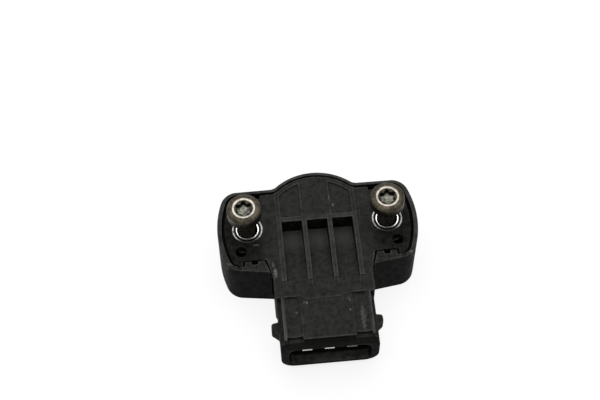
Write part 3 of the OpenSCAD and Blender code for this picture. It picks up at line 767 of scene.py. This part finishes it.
def thread_tree() -> NodeTree:
    """Build, once, the tree that rolls a flat grid into a shank with a helical thread.

    Returns:
        A geometry node tree whose inputs are the thread's sizes in millimetres.
    """
    name = "rolled_thread"
    if name in bpy.data.node_groups:
        return bpy.data.node_groups[name]
    tree = bpy.data.node_groups.new(name, "GeometryNodeTree")
    sizes = group_inputs(tree, {
        "Length": ("Float", 20.0), "Major Radius": ("Float", 2.0), "Pitch": ("Float", 0.7),
        "Depth": ("Float", 0.4), "Tip": ("Float", 0.5), "Columns": ("Int", 49),
        "Rows": ("Int", 200), "Finish": ("Material", None)})
    crest, root, plain, run_out, chamfer = 0.12, 0.9, 0.1, 1.5, 0.5
    grid = add_node(tree, "GeometryNodeMeshGrid", {
        "Size X": 1.0, "Size Y": 1.0, "Vertices X": sizes["Columns"], "Vertices Y": sizes["Rows"]})
    here = add_node(tree, "GeometryNodeInputPosition")
    place = add_node(tree, "ShaderNodeSeparateXYZ", {"Vector": here}).outputs
    turn, share = (Value(tree, place[axis]) + 0.5 for axis in "XY")
    height = share * (sizes["Length"] - sizes["Tip"]) + sizes["Tip"]
    hollow = abs((height / sizes["Pitch"] - turn).worked("FRACT") - 0.5) * 2.0
    thread = hollow.rise(crest, root) * (sizes["Length"] - height).above(plain, run_out)
    cut = thread.worked("MAXIMUM", (height - sizes["Tip"]).below(0, chamfer))
    radius = sizes["Major Radius"] - sizes["Depth"] * cut
    angle = turn * (2 * math.pi)
    rolled = add_node(tree, "ShaderNodeCombineXYZ", {
        "X": radius * angle.worked("COSINE"), "Y": radius * angle.worked("SINE"), "Z": height})
    moved = add_node(tree, "GeometryNodeSetPosition", {"Geometry": grid, "Position": rolled})
    welded = add_node(tree, "GeometryNodeMergeByDistance", {"Geometry": moved, "Distance": 0.002})
    close_shape(tree, welded, sizes["Finish"])
    return tree


def wire_tree() -> NodeTree:
    """Build the tree that sweeps a round wire along a path.

    Returns:
        A geometry node tree with the path, the wire's diameter and its sides as inputs.
    """
    tree = bpy.data.node_groups.new("swept_wire", "GeometryNodeTree")
    sizes = group_inputs(tree, {"Geometry": ("Geometry", None), "Diameter": ("Float", 0.45 * MM),
                                "Sides": ("Int", 12), "Finish": ("Material", None)})
    ring = add_node(tree, "GeometryNodeCurvePrimitiveCircle", {
        "Resolution": sizes["Sides"], "Radius": sizes["Diameter"] / 2.0})
    path = add_node(tree, "GeometryNodeMeshToCurve", {"Mesh": sizes["Geometry"]})
    swept = add_node(tree, "GeometryNodeCurveToMesh", {
        "Curve": path, "Profile Curve": ring, "Fill Caps": True})
    close_shape(tree, swept, sizes["Finish"])
    return tree


@contextmanager
def opened(mesh: Mesh) -> Iterator[BMesh]:
    """Open a mesh for changes, and write them back at the end.

    Args:
        mesh: The mesh.

    Yields:
        Its corners, edges and faces.
    """
    shape = bmesh.new()
    shape.from_mesh(mesh)
    yield shape
    shape.to_mesh(mesh)
    shape.free()


@dataclass(frozen=True)
class DrawnForward:
    """Front ends of ribs and pockets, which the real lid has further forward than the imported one.

    Attributes:
        half_mm: They lie within this distance of the middle plane.
        from_mm: Nearest place of their corners, in front of the screw line.
        to_mm: Furthest place of their corners.
        above_mm: They lie above this height.
        by_mm: How far they are drawn forward.
    """

    half_mm: float = 9.3
    from_mm: float = 11.8
    to_mm: float = 13.7
    above_mm: float = 13.1
    by_mm: float = 2.0

    def draw(self, shape: BMesh) -> None:
        """Move the corners forward.

        Args:
            shape: The lid's mesh, in metres.
        """
        for point in shape.verts:
            x, y, z = point.co / MM
            if abs(x) < self.half_mm and self.from_mm < -y < self.to_mm and z > self.above_mm:
                point.co.y -= self.by_mm * MM


@dataclass
class RoundedCopy:
    """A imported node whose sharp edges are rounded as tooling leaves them.

    Attributes:
        node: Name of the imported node.
        slot: Its material slot.
        body: The body that it rides on.
        radius_mm: Edge radius where there is room for it.
        look: Finish, where it is another one than the slot's own.
        forward: Front ends that are drawn forward, where it has any.
        segments: Faces across each rounded edge.
        flat_deg: Largest angle between faces that are taken for one plane.
        sharp_deg: Smallest angle between faces that counts as an edge.
        room_share: Part of the distance to the next edge that a radius may take.
        beside_share: How straight across the next edge has to lie, as a cosine at most.
        sample_mm: Distance between the places where an edge's room is measured.
        most_samples: Number of such places at most.
        least_share: Smallest part of the radius that an edge is rounded by.
        slope: How much the radius may grow for each length along the edges.
        merge_mm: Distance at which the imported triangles' corners are welded.
        knot_mm: Longest run of outline that is merged where it crosses itself.
        passes: How often such runs are looked for.
        stray_share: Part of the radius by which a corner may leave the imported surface.
    """

    node: str
    slot: str
    body: Body = Body.CASING
    radius_mm: float = 0.2
    look: str = ""
    forward: DrawnForward | None = None
    segments: int = 2
    flat_deg: float = 1.0
    sharp_deg: float = 24.0
    room_share: float = 0.4
    beside_share: float = 0.35
    sample_mm: float = 0.2
    most_samples: int = 60
    least_share: float = 0.05
    slope: float = 0.25
    merge_mm: float = 0.002
    knot_mm: float = 1.5
    passes: int = 4
    stray_share: float = 0.6

    def build(self, shop: Workshop) -> Object:
        """Copy, clean, round and dress the node.

        Args:
            shop: Where nodes and materials come from.

        Returns:
            The new piece.
        """
        mesh = shop.nodes[self.node].data.copy()
        mesh.name = self.node + "_rounded"
        mesh.materials.clear()
        self._clean(mesh)
        piece = link_new(self.node + "_moulded", mesh)
        if self._weigh(mesh):
            self._round(piece)
        piece.data.materials.clear()
        piece.data.materials.append(shop.finish(self.look or self.slot))
        return seat(piece, self.body, self.slot, self.node)

    def _clean(self, mesh: Mesh) -> None:
        """Weld the loose triangles and merge those that lie in one plane.

        Args:
            mesh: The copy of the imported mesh.
        """
        with opened(mesh) as shape:
            bmesh.ops.remove_doubles(shape, verts=shape.verts, dist=self.merge_mm * MM)
            bmesh.ops.dissolve_limit(shape, angle_limit=math.radians(self.flat_deg),
                                     use_dissolve_boundaries=False,
                                     verts=shape.verts, edges=shape.edges)
            if self.forward:
                self.forward.draw(shape)
            for face in shape.faces:
                face.smooth = True
        if "custom_normal" in mesh.attributes:
            mesh.attributes.remove(mesh.attributes["custom_normal"])

    def _weigh(self, mesh: Mesh) -> int:
        """Weigh each sharp edge by the room that it has, and give how many there are.

        An edge that runs beside another one gets a smaller radius, so that the rounded edges
        of thin ribs, steps and seams never meet.

        Args:
            mesh: The cleaned mesh.

        Returns:
            The number of sharp edges.
        """
        with opened(mesh) as shape:
            layer = shape.edges.layers.float.new("bevel_weight_edge")
            sharp = [e for e in shape.edges
                     if len(e.link_faces) == 2 and e.calc_face_angle(0) > math.radians(self.sharp_deg)]
            reach = self.radius_mm * MM / self.room_share
            for edge, space in zip(sharp, self._room(sharp, reach)):
                edge[layer] = max(self.least_share, min(1.0, space / reach))
            self._settle(sharp, layer)
            return len(sharp)

    def _room(self, sharp: list[BMEdge], reach: float) -> list[float]:
        """Measure how far each edge is from the next one that runs beside it.

        Args:
            sharp: The edges.
            reach: Furthest distance that is looked at.

        Returns:
            The distance for each edge, in metres.
        """
        samples: list[tuple[Vector, int]] = []
        for number, edge in enumerate(sharp):
            start, end = edge.verts[0].co, edge.verts[1].co
            steps = int((end - start).length / (self.sample_mm * MM))
            steps = max(2, min(self.most_samples, steps))
            samples += [(start.lerp(end, (i + 0.5) / steps), number) for i in range(steps)]
        tree = kdtree.KDTree(len(samples))
        for index, (point, _) in enumerate(samples):
            tree.insert(point, index)
        tree.balance()
        room = [reach] * len(sharp)
        for point, number in samples:
            edge = sharp[number]
            along = (edge.verts[1].co - edge.verts[0].co).normalized()
            ends = set(edge.verts)
            for other_point, index, distance in tree.find_range(point, room[number]):
                other = sharp[samples[index][1]]
                if other is edge or ends & set(other.verts) or distance < TOUCHING:
                    continue
                if abs((other_point - point).dot(along)) < self.beside_share * distance:
                    room[number] = min(room[number], distance)
        return room

    def _settle(self, sharp: list[BMEdge], layer: BMLayerItem) -> None:
        """Let the radius grow only slowly from one edge to the next one.

        Args:
            sharp: The weighed edges.
            layer: Where their weights are kept.
        """
        by_index = {e.index: e for e in sharp}
        waiting = sorted((e[layer], e.index) for e in sharp)
        while waiting:
            weight, index = heapq.heappop(waiting)
            edge = by_index[index]
            if weight > edge[layer] + 1e-9:
                continue
            for corner in edge.verts:
                for other in corner.link_edges:
                    if other.index not in by_index or other is edge:
                        continue
                    run = (edge.calc_length() + other.calc_length()) / 2
                    most = weight + self.slope * run / (self.radius_mm * MM)
                    if other[layer] > most:
                        other[layer] = most
                        heapq.heappush(waiting, (most, other.index))

    def _round(self, piece: Object) -> None:
        """Bevel the weighed edges and mark the ridges of the outward ones as worn.

        Args:
            piece: The piece that holds the weighed mesh.
        """
        for _ in range(BEVELLED + 1):
            piece.data.materials.append(None)
        solid = BVHTree.FromPolygons([v.co.copy() for v in piece.data.vertices],
                                     [tuple(p.vertices) for p in piece.data.polygons])
        bevel = piece.modifiers.new("edges", "BEVEL")
        bevel.width = self.radius_mm * MM
        bevel.segments = self.segments
        bevel.limit_method = "WEIGHT"
        bevel.use_clamp_overlap = False
        bevel.material = BEVELLED
        bake(piece)
        for _ in range(self.passes):
            if not self._draw_together(piece.data):
                break
        self._lay_on(piece.data, solid)
        shading = piece.modifiers.new("shading", "WEIGHTED_NORMAL")
        shading.mode = "FACE_AREA"
        shading.keep_sharp = True
        bake(piece)
        mark_worn_ridges(piece.data)
        for polygon in piece.data.polygons:
            polygon.material_index = 0

    def _draw_together(self, mesh: Mesh) -> int:
        """Merge each short run of corners by which a face's outline crosses itself.

        Args:
            mesh: The rounded mesh.

        Returns:
            How many runs were merged.
        """
        merged: dict[BMVert, BMVert] = {}
        with opened(mesh) as shape:
            for face in shape.faces:
                if len(face.verts) < 5 or not folded(face):
                    continue
                for run, place in knots(face, self.knot_mm * MM):
                    if any(point in merged or point in merged.values() for point in run):
                        continue
                    run[0].co = place
                    merged.update({point: run[0] for point in run[1:]})
            if merged:
                bmesh.ops.weld_verts(shape, targetmap=merged)
                bmesh.ops.dissolve_degenerate(shape, dist=TOUCHING, edges=shape.edges)
        return len(merged)

    def _lay_on(self, mesh: Mesh, solid: BVHTree) -> None:
        """Bring back each corner that the rounding threw off the solid, and split the big faces.

        Args:
            mesh: The rounded mesh.
            solid: The surface before rounding.
        """
        strayed = 0
        with opened(mesh) as shape:
            for point in shape.verts:
                place, _, _, distance = solid.find_nearest(point.co)
                if distance > self.stray_share * self.radius_mm * MM:
                    point.co = place
                    strayed += 1
            bmesh.ops.triangulate(shape, faces=[f for f in shape.faces if len(f.verts) > 4],
                                  ngon_method="EAR_CLIP")
        LOG.info("%s: %d corners brought back", self.node, strayed)


def folded(face: BMFace) -> bool:
    """Tell whether the triangles that fill a face cover more than its outline encloses.

    Args:
        face: The face.

    Returns:
        True if its outline folds over itself.
    """
    corners = [loop.vert.co for loop in face.loops]
    filled = sum(mathutils.geometry.area_tri(*(corners[i] for i in triangle))
                 for triangle in mathutils.geometry.tessellate_polygon([corners]))
    return filled - face.calc_area() > 1e-5 * filled


def knots(face: BMFace, reach: float) -> list[tuple[list[BMVert], Vector]]:
    """Find where the outline of a face crosses itself.

    Args:
        face: The face.
        reach: Longest run of outline that may lie between the two crossing edges.

    Returns:
        The corners of each run and the place of the crossing.
    """
    corners = list(face.verts)
    count = len(corners)
    turn = face.normal.to_track_quat("Z", "Y").to_matrix().transposed()
    start = np.array([(turn @ corner.co)[:2] for corner in corners])
    step = np.roll(start, -1, axis=0) - start
    offset = start[None, :] - start[:, None]
    cross = step[:, None, 0] * step[None, :, 1] - step[:, None, 1] * step[None, :, 0]
    with np.errstate(divide="ignore", invalid="ignore"):
        own = (offset[..., 0] * step[None, :, 1] - offset[..., 1] * step[None, :, 0]) / cross
        other = (offset[..., 0] * step[:, None, 1] - offset[..., 1] * step[:, None, 0]) / cross
    meets = (own > 0) & (own < 1) & (other > 0) & (other < 1)
    length = np.linalg.norm(step, axis=1)
    found = []
    for i, j in zip(*(axis.tolist() for axis in np.nonzero(np.triu(meets, 2)))):
        place = corners[i].co.lerp(corners[(i + 1) % count].co, float(own[i, j]))
        inner = [k % count for k in range(i + 1, j + 1)]
        outer = [k % count for k in range(j + 1, i + count + 1)]
        run = min((inner, outer), key=lambda way: float(length[way[:-1]].sum()))
        if float(length[run[:-1]].sum()) < reach:
            found.append(([corners[k] for k in run], place))
    return sorted(found, key=lambda knot: len(knot[0]))


def mark_worn_ridges(mesh: Mesh) -> None:
    """Store on each point whether it lies on the ridge of an outward rounded edge.

    Args:
        mesh: The rounded mesh, with its bevelled faces still marked.
    """
    shape = bmesh.new()
    shape.from_mesh(mesh)
    values = []
    for point in shape.verts:
        value = 0.0
        if point.link_faces and all(f.material_index == BEVELLED for f in point.link_faces):
            lean = sum((e.other_vert(point).co - point.co).normalized().dot(point.normal)
                       for e in point.link_edges)
            value = float(lean < OUTWARD_LEAN)
        values.append(value)
    shape.free()
    layer = mesh.attributes.new(WEAR, "FLOAT", "POINT")
    layer.data.foreach_set("value", np.array(values, np.float32))


class HeadFinish(IntEnum):
    """Material slots of a screw, in their order on its mesh."""

    PLATED = 0
    RUBBED = 1
    # oily, and painted shade: the thread, the head's underside and the recess's lobes
    OILY = 2
    FLOOR = 3


@dataclass(frozen=True)
class HeadRing:
    """One ring of points round the head, and the finish of the band that leads up to it.

    Attributes:
        radius: Radius in millimetres, at the lobes.
        height: Height in millimetres, or None on the recess's conical entry.
        lobed: How far the ring follows the six lobes, from 0 to 1.
        finish: Finish of the band before it.
    """

    radius: float
    height: float | None
    lobed: float = 0.0
    finish: HeadFinish = HeadFinish.PLATED


@dataclass
class Screw:
    """One M4 pan-head screw with its real thread and six-lobe recess.

    Sizes are in millimetres. The screw leans by the play that it has in its sleeve, and its
    recess is turned as it was left when the screw was last undone.
    """

    node: str
    side: int
    lean_deg: float
    turn_deg: float = 30.0
    pitch_line_x: float = 16.0
    pivot_z: float = 7.15
    length: float = 20.0
    major_r: float = 2.0
    thread_pitch: float = 0.7
    thread_depth: float = 0.38
    tip_r: float = 1.55
    tip_h: float = 0.5
    head_r: float = 3.85
    head_h: float = 3.0
    flat_r: float = 2.56
    round_h: float = 0.75
    round_steps: int = 12
    lobe_r: float = 1.98
    lobe_depth: float = 1.6
    entry_r: float = 2.12
    entry_h: float = 0.4
    waist_share: float = 0.72
    floor_r: float = 1.1
    columns: int = 72
    rows_per_turn: int = 10
    weld: float = 0.004
    sharp_deg: float = 38.0

    def build(self, shop: Workshop) -> Object:
        """Make the shank with a node tree, weld the head on and dress the screw.

        Args:
            shop: Where the materials come from.

        Returns:
            The finished screw.
        """
        mesh = self._shank_mesh(shop)
        mesh.name = self.node + "_threaded"
        mesh.materials.clear()
        with opened(mesh) as shape:
            for face in shape.faces:
                face.material_index = HeadFinish.OILY
            self._turn_on(shape, self._head())
            self._turn_on(shape, [HeadRing(self.major_r - self.thread_depth, self.tip_h),
                                  HeadRing(self.tip_r, 0.0, finish=HeadFinish.OILY)])
            bmesh.ops.remove_doubles(shape, verts=shape.verts, dist=self.weld)
            bmesh.ops.recalc_face_normals(shape, faces=shape.faces)
            shape.transform(self._stance())
        for polygon in mesh.polygons:
            polygon.use_smooth = True
        mesh.set_sharp_from_angle(angle=math.radians(self.sharp_deg))
        for slot in ("screw_steel", "worn_flat", "shaded_oily_thread", "recess_floor"):
            mesh.materials.append(shop.finish(slot))
        return seat(link_new(self.node + "_threaded", mesh), Body.CASING, "screw_steel", self.node)

    def _stance(self) -> Matrix:
        """Give the move from the screw's own millimetre frame to its place in metres.

        Returns:
            The move, with the screw's lean in it.
        """
        lean = math.radians(self.lean_deg)
        lift = self.tip_r * math.sin(lean)
        return (Matrix.Scale(MM, 4)
                @ Matrix.Translation((self.side * self.pitch_line_x, 0, self.pivot_z + lift))
                @ Matrix.Rotation(-lean, 4, "Y")
                @ Matrix.Translation((0, 0, -self.pivot_z)))

    def _shank_mesh(self, shop: Workshop) -> Mesh:
        """Run the thread tree and give the shank as a plain mesh in millimetres.

        Args:
            shop: Where the material comes from.

        Returns:
            The shank, open at both ends.
        """
        carrier = link_new(self.node + "_shank", bpy.data.meshes.new(self.node + "_shank"))
        return grown_by(thread_tree(), carrier, {
            "Length": self.length, "Major Radius": self.major_r, "Pitch": self.thread_pitch,
            "Depth": self.thread_depth, "Tip": self.tip_h, "Columns": self.columns + 1,
            "Rows": int(self.length / self.thread_pitch * self.rows_per_turn),
            "Finish": shop.finish("shaded_oily_thread")})

    def _head(self) -> list[HeadRing]:
        """List the head's rings from the shank up, over the flat and down the recess.

        Returns:
            The rings in that order.
        """
        flat, reach = self.flat_r, self.head_r - self.flat_r
        top = self.length + self.head_h
        floor = top - self.lobe_depth
        plated, rubbed, oily_and_shaded, bottom = HeadFinish
        angles = [math.pi / 2 * step / self.round_steps for step in range(self.round_steps + 1)]
        return [
            HeadRing(self.major_r, self.length),
            HeadRing(self.head_r - 0.25, self.length, finish=oily_and_shaded),
            HeadRing(self.head_r - 0.08, self.length + 0.06, finish=plated),
            HeadRing(self.head_r, self.length + 0.22),
            *(HeadRing(flat + reach * math.cos(a), top - self.round_h * (1 - math.sin(a)))
              for a in angles),
            HeadRing(flat - 0.06, top, finish=rubbed),
            HeadRing(self.entry_r + 0.06, top, finish=rubbed),
            HeadRing(self.entry_r - 0.02, top - 0.04, finish=rubbed),
            HeadRing(self.lobe_r, None, 1.0),
            # painted shade: the lobes' walls take the dark oily finish
            HeadRing(self.lobe_r * 0.99, top - self.lobe_depth * 0.6, 1.0, oily_and_shaded),
            HeadRing(self.lobe_r * 0.97, floor + 0.08, 1.0, oily_and_shaded),
            HeadRing(self.lobe_r * 0.92, floor, 1.0, oily_and_shaded),
            HeadRing(self.floor_r, floor, finish=bottom),
            HeadRing(0.2, floor - 0.4, finish=bottom)]

    def _on_entry_cone(self, radius: float) -> float:
        """Give the height of the recess's conical entry at a radius."""
        waist = self.lobe_r * self.waist_share
        return self.length + self.head_h - self.entry_h * (self.entry_r - radius) / (self.entry_r - waist)

    def _lobed(self, radius: float, share: float, angle: float) -> float:
        """Give the radius at an angle, pulled in between the six lobes by a share."""
        hollow = 0.5 - 0.5 * math.cos(6 * (angle - math.radians(self.turn_deg)))
        return radius * (1 - (1 - self.waist_share) * share * hollow)

    def _turn_on(self, shape: BMesh, rings: list[HeadRing]) -> None:
        """Add rings of points joined by bands of faces, and close the last one.

        Args:
            shape: The screw so far.
            rings: The rings, from the open end to the closed one.
        """
        points = []
        for ring in rings:
            row = []
            for angle in (2 * math.pi * c / self.columns for c in range(self.columns)):
                r = self._lobed(ring.radius, ring.lobed, angle)
                height = self._on_entry_cone(r) if ring.height is None else ring.height
                row.append(shape.verts.new((r * math.cos(angle), r * math.sin(angle), height)))
            points.append(row)
        for ring, low, high in zip(rings[1:], points, points[1:]):
            for column in range(self.columns):
                after = (column + 1) % self.columns
                face = shape.faces.new((low[column], low[after], high[after], high[column]))
                face.material_index = ring.finish
        shape.faces.new(points[-1]).material_index = rings[-1].finish


@dataclass
class ReturnSpring:
    """The torsion spring under the rotor, which winds up as the rotor turns.

    Sizes are in millimetres. Its lower leg stays with the housing and its upper leg goes with
    the rotor's tab.
    """

    node: str = "return_spring"
    wire: float = 0.45
    coil_r: float = 8.1
    bend_r: float = 0.6
    leg_end_r: float = 9.85
    low_z: float = 2.655
    high_z: float = 3.745
    fixed_leg_deg: float = 250.0
    tab_leg_deg: float = 767.94
    steps: int = 260
    bend_steps: int = 6
    sides: int = 12

    def path(self) -> list[Vector]:
        """Trace the middle of the wire from the fixed leg to the leg at the tab.

        Returns:
            Its points, in millimetres.
        """
        low = self._leg(self.fixed_leg_deg, self.low_z, 1)
        high = self._leg(self.tab_leg_deg, self.high_z, -1)
        turn = math.degrees(math.atan2(self.bend_r, self.coil_r))
        start, end = self.fixed_leg_deg + turn, self.tab_leg_deg - turn
        coil = []
        for step in range(1, self.steps):
            share = step / self.steps
            angle = math.radians(start + (end - start) * share)
            height = self.low_z + (self.high_z - self.low_z) * share
            coil.append(Vector((self.coil_r * math.cos(angle), self.coil_r * math.sin(angle), height)))
        return low + coil + high[::-1]

    def _leg(self, direction_deg: float, height: float, side: int) -> list[Vector]:
        """Trace one leg from its end to where it has bent into the coil.

        Args:
            direction_deg: Direction that the leg points in.
            height: Its height.
            side: 1 if the coil runs on from it, -1 if the coil runs up to it.

        Returns:
            Its points, in millimetres.
        """
        points = [(self.leg_end_r, 0.0)]
        for step in range(self.bend_steps + 1):
            angle = math.pi / 2 * step / self.bend_steps
            points.append((self.coil_r + self.bend_r * (1 - math.sin(angle)),
                           side * self.bend_r * (1 - math.cos(angle))))
        turn = Matrix.Rotation(math.radians(direction_deg), 3, "Z")
        return [turn @ Vector((out, across, height)) for out, across in points]

    def build(self, shop: Workshop) -> Object:
        """Sweep the wire along its wound path, from the leg at the housing to the leg at the rotor's tab.

        Args:
            shop: Where the material comes from.

        Returns:
            The finished spring.
        """
        points = [point * MM for point in self.path()]
        mesh = bpy.data.meshes.new("spring_path")
        mesh.from_pydata(points, [(i, i + 1) for i in range(len(points) - 1)], [])
        swept = grown_by(wire_tree(), link_new("spring_path", mesh), {
            "Diameter": self.wire * MM, "Sides": self.sides, "Finish": shop.finish("spring_steel")})
        for polygon in swept.polygons:
            polygon.use_smooth = True
        piece = link_new("return_spring_wire", swept)
        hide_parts(self.node)
        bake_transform(piece)
        LOG.info("%s winds between %s and %s: %d faces", piece.name, Body.CASING.value,
                 Body.ROTOR_SET.value, len(swept.polygons))
        return piece


@dataclass
class Casing:
    """The moulded cup and lid, the compound between them, and the steel in their wings.

    Attributes:
        cup_edge_mm: Edge radius of the cup's moulding.
        lid_edge_mm: Edge radius of the lid's moulding.
        steel_edge_mm: Edge radius of the turned bushes and sleeves.
    """

    cup_edge_mm: float = 0.22
    lid_edge_mm: float = 0.22
    steel_edge_mm: float = 0.1

    def build(self, shop: Workshop) -> None:
        """Make the casing's pieces.

        Args:
            shop: Where nodes and materials come from.
        """
        RoundedCopy("housing", "housing_plastic", radius_mm=self.cup_edge_mm).build(shop)
        RoundedCopy("cover", "cover_plastic", radius_mm=self.lid_edge_mm,
                    forward=DrawnForward()).build(shop)
        shop.dress("cover_sealant", "sealant")
        for side in ("left", "right"):
            for kind in ("bush", "sleeve"):
                RoundedCopy(f"{kind}_{side}", "bush_steel", radius_mm=self.steel_edge_mm,
                            look=kind + "_steel").build(shop)


@dataclass
class Connector:
    """The three blades that stand in the connector's mouth.

    Attributes:
        count: Number of blades.
        edge_mm: Edge radius left by the stamping tool.
        darkened_blade: Number of the blade that is painted darker, as shade.
    """

    count: int = 3
    edge_mm: float = 0.1
    darkened_blade: int = 3

    def build(self, shop: Workshop) -> None:
        """Make the blades.

        Args:
            shop: Where nodes and materials come from.
        """
        for number in range(1, self.count + 1):
            # one blade gets the darker copy, as painted shade
            RoundedCopy(f"terminal_{number}", "tinned_blade", radius_mm=self.edge_mm,
                        look="blade_in_painted_shade" if number == self.darkened_blade else "").build(shop)


@dataclass
class Fasteners:
    """The two screws that stand in the wings, each leaning by its own play.

    Attributes:
        left_lean_deg: Lean of the screw on the left.
        right_lean_deg: Lean of the screw on the right.
    """

    left_lean_deg: float = 1.75
    right_lean_deg: float = 1.5

    def build(self, shop: Workshop) -> None:
        """Make both screws.

        Args:
            shop: Where nodes and materials come from.
        """
        for name, side, lean in (("left", -1, self.left_lean_deg), ("right", 1, self.right_lean_deg)):
            Screw(f"screw_{name}", side, lean).build(shop)


@dataclass
class Inside:
    """What turns and what it turns against: rotor, wiper, tracks, spring, washer and seals.

    Attributes:
        rotor_edge_mm: Edge radius of the rotor's moulding.
        thin_edge_mm: Edge radius of the board and the stamped pieces.
    """

    rotor_edge_mm: float = 0.15
    thin_edge_mm: float = 0.06

    def build(self, shop: Workshop) -> None:
        """Make the inner pieces.

        Args:
            shop: Where nodes and materials come from.
        """
        RoundedCopy("rotor", "rotor_plastic", Body.ROTOR_SET, self.rotor_edge_mm).build(shop)
        RoundedCopy("wiper", "wiper_bronze", Body.ROTOR_SET, self.thin_edge_mm).build(shop)
        RoundedCopy("track_board", "board_ceramic", radius_mm=self.thin_edge_mm).build(shop)
        RoundedCopy("thrust_washer", "washer_steel", radius_mm=self.thin_edge_mm).build(shop)
        for node, slot in (("resistive_track", "carbon_ink"), ("collector_track", "silver_ink"),
                           ("shaft_seal", "seal_rubber"), ("face_seal", "seal_rubber")):
            shop.dress(node, slot)
        ReturnSpring().build(shop)


@dataclass
class Studio:
    """A white table under one broad soft lamp, seen from the photograph's side and height.

    Attributes:
        lens_mm: Lens for a 36 mm wide sensor.
        yaw_deg: Turn of the camera round the object, to its left.
        elevation_deg: Height of the camera over the table.
        roll_deg: Roll of the picture.
        shift_mm: Where the object's origin lies beside and below the picture's middle.
        distance_mm: Distance from the camera to the origin's plane.
        lamp_w: Power of the lamp.
        lamp_size: Side of the square lamp, in metres.
        lamp_at: Place of the lamp, in metres.
        ambience: Strength of the white room for diffuse light.
        table: Reflectance of the table.
        table_lift: Glow that makes the table white to the camera and in reflections.
        table_reach: Half the table's side, in metres.
        table_gap_mm: How far the table lies under the sensor.
        table_grain_mm: Size of the board's faint grain.
    """

    lens_mm: float = 78.0
    yaw_deg: float = -5.094
    elevation_deg: float = 59.487
    roll_deg: float = 0.342
    shift_mm: tuple[float, float] = (3.995, -12.131)
    distance_mm: float = 307.724
    lamp_w: float = 1.6
    lamp_size: float = 0.6
    lamp_at: tuple[float, float, float] = (0.0, 0.12, 0.45)
    ambience: float = 0.33
    table: float = 0.25
    table_lift: float = 0.84
    table_reach: float = 1.5
    table_gap_mm: float = 0.02
    table_grain_mm: float = 6.0

    def build(self) -> None:
        """Make the camera, the lamp, the room and the table."""
        scene = bpy.context.scene
        scene.view_settings.view_transform = "Standard"
        self._camera(scene)
        self._lamp(scene)
        self._room(scene)
        self._table()

    def _camera(self, scene: Scene) -> None:
        """Set the camera where the photograph was taken from.

        Args:
            scene: The scene that it looks at.
        """
        yaw, up, roll = (math.radians(a) for a in (self.yaw_deg, self.elevation_deg, self.roll_deg))
        back = Vector((math.sin(yaw) * math.cos(up), -math.cos(yaw) * math.cos(up), math.sin(up)))
        right = Vector((math.cos(yaw), math.sin(yaw), 0))
        axes = Matrix((right, back.cross(right), back)).transposed() @ Matrix.Rotation(-roll, 3, "Z")
        place = axes @ Vector((-self.shift_mm[0], -self.shift_mm[1], self.distance_mm)) * MM
        data = bpy.data.cameras.new("photographer")
        data.lens = self.lens_mm
        data.sensor_width = 36
        data.clip_start = 0.01
        data.clip_end = 20
        camera = bpy.data.objects.new("photographer", data)
        camera.matrix_world = Matrix.Translation(place) @ axes.to_4x4()
        scene.collection.objects.link(camera)
        scene.camera = camera

    def _lamp(self, scene: Scene) -> None:
        """Hang the soft lamp over the table, turned to the sensor.

        Args:
            scene: The scene that it lights.
        """
        data = bpy.data.lights.new("soft_box", "AREA")
        data.shape = "SQUARE"
        data.size = self.lamp_size
        data.energy = self.lamp_w
        lamp = bpy.data.objects.new("soft_box", data)
        place = Vector(self.lamp_at)
        lamp.matrix_world = Matrix.Translation(place) @ place.to_track_quat("Z", "Y").to_matrix().to_4x4()
        scene.collection.objects.link(lamp)

    def _seen(self, tree: NodeTree) -> Value:
        """Give 1 for rays from the camera and for those in reflections or glass.

        Args:
            tree: The tree that asks.

        Returns:
            1 for such rays and 0 for others.
        """
        rays = add_node(tree, "ShaderNodeLightPath").outputs
        camera, glossy, through = (Value(tree, rays[f"Is {kind} Ray"])
                                   for kind in ("Camera", "Glossy", "Transmission"))
        return camera.worked("MAXIMUM", glossy.worked("MAXIMUM", through))

    def _room(self, scene: Scene) -> None:
        """Surround the table with a white room that lights it only weakly.

        Args:
            scene: The scene that gets the room.
        """
        world = bpy.data.worlds.new("white_room")
        world.use_nodes = True
        tree = world.node_tree
        tree.nodes.clear()
        strength = self._seen(tree).rise(0, 1, self.ambience, 1.0)
        walls = add_node(tree, "ShaderNodeBackground", {"Color": WHITE, "Strength": strength})
        add_node(tree, "ShaderNodeOutputWorld", {"Surface": walls})
        scene.world = world

    def _table(self) -> None:
        """Lay the white table just under the sensor."""
        mesh = bpy.data.meshes.new("table")
        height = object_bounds()[0].z - self.table_gap_mm * MM
        mesh.from_pydata([(x * self.table_reach, y * self.table_reach, height)
                          for x, y in ((-1, -1), (1, -1), (1, 1), (-1, 1))], [], [(0, 1, 2, 3)])
        skin = Skin("white_board")
        grain = skin.noise(self.table_grain_mm, 3).rise(0.3, 0.7, self.table * 0.98, self.table)
        grey = add_node(skin.tree, "ShaderNodeCombineColor", {"Red": grain, "Green": grain, "Blue": grain})
        board = add_node(skin.tree, "ShaderNodeBsdfDiffuse", {"Color": grey})
        glow = add_node(skin.tree, "ShaderNodeEmission", {
            "Color": WHITE, "Strength": self._seen(skin.tree).rise(0, 1, 0, self.table_lift)})
        both = add_node(skin.tree, "ShaderNodeAddShader", {0: board, 1: glow})
        add_node(skin.tree, "ShaderNodeOutputMaterial", {"Surface": both})
        mesh.materials.append(skin.material)
        link_new("table", mesh)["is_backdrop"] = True


def corners() -> list[list[float]]:
    """Give the shown object's lowest and highest corner as plain lists."""
    bpy.context.view_layer.update()
    return [list(corner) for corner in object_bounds()]


def main() -> None:
    """Build the sub-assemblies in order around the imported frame, then the studio."""
    logging.basicConfig(level=logging.INFO, format="%(name)s: %(message)s")
    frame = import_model()
    packed_box = corners()
    shop = Workshop(frame["nodes"])
    for assembly in (Casing(), Connector(), Fasteners(), Inside()):
        assembly.build(shop)
    Studio().build()
    {"packed": packed_box, "dressed": corners()}


if __name__ == "__main__":
    main()
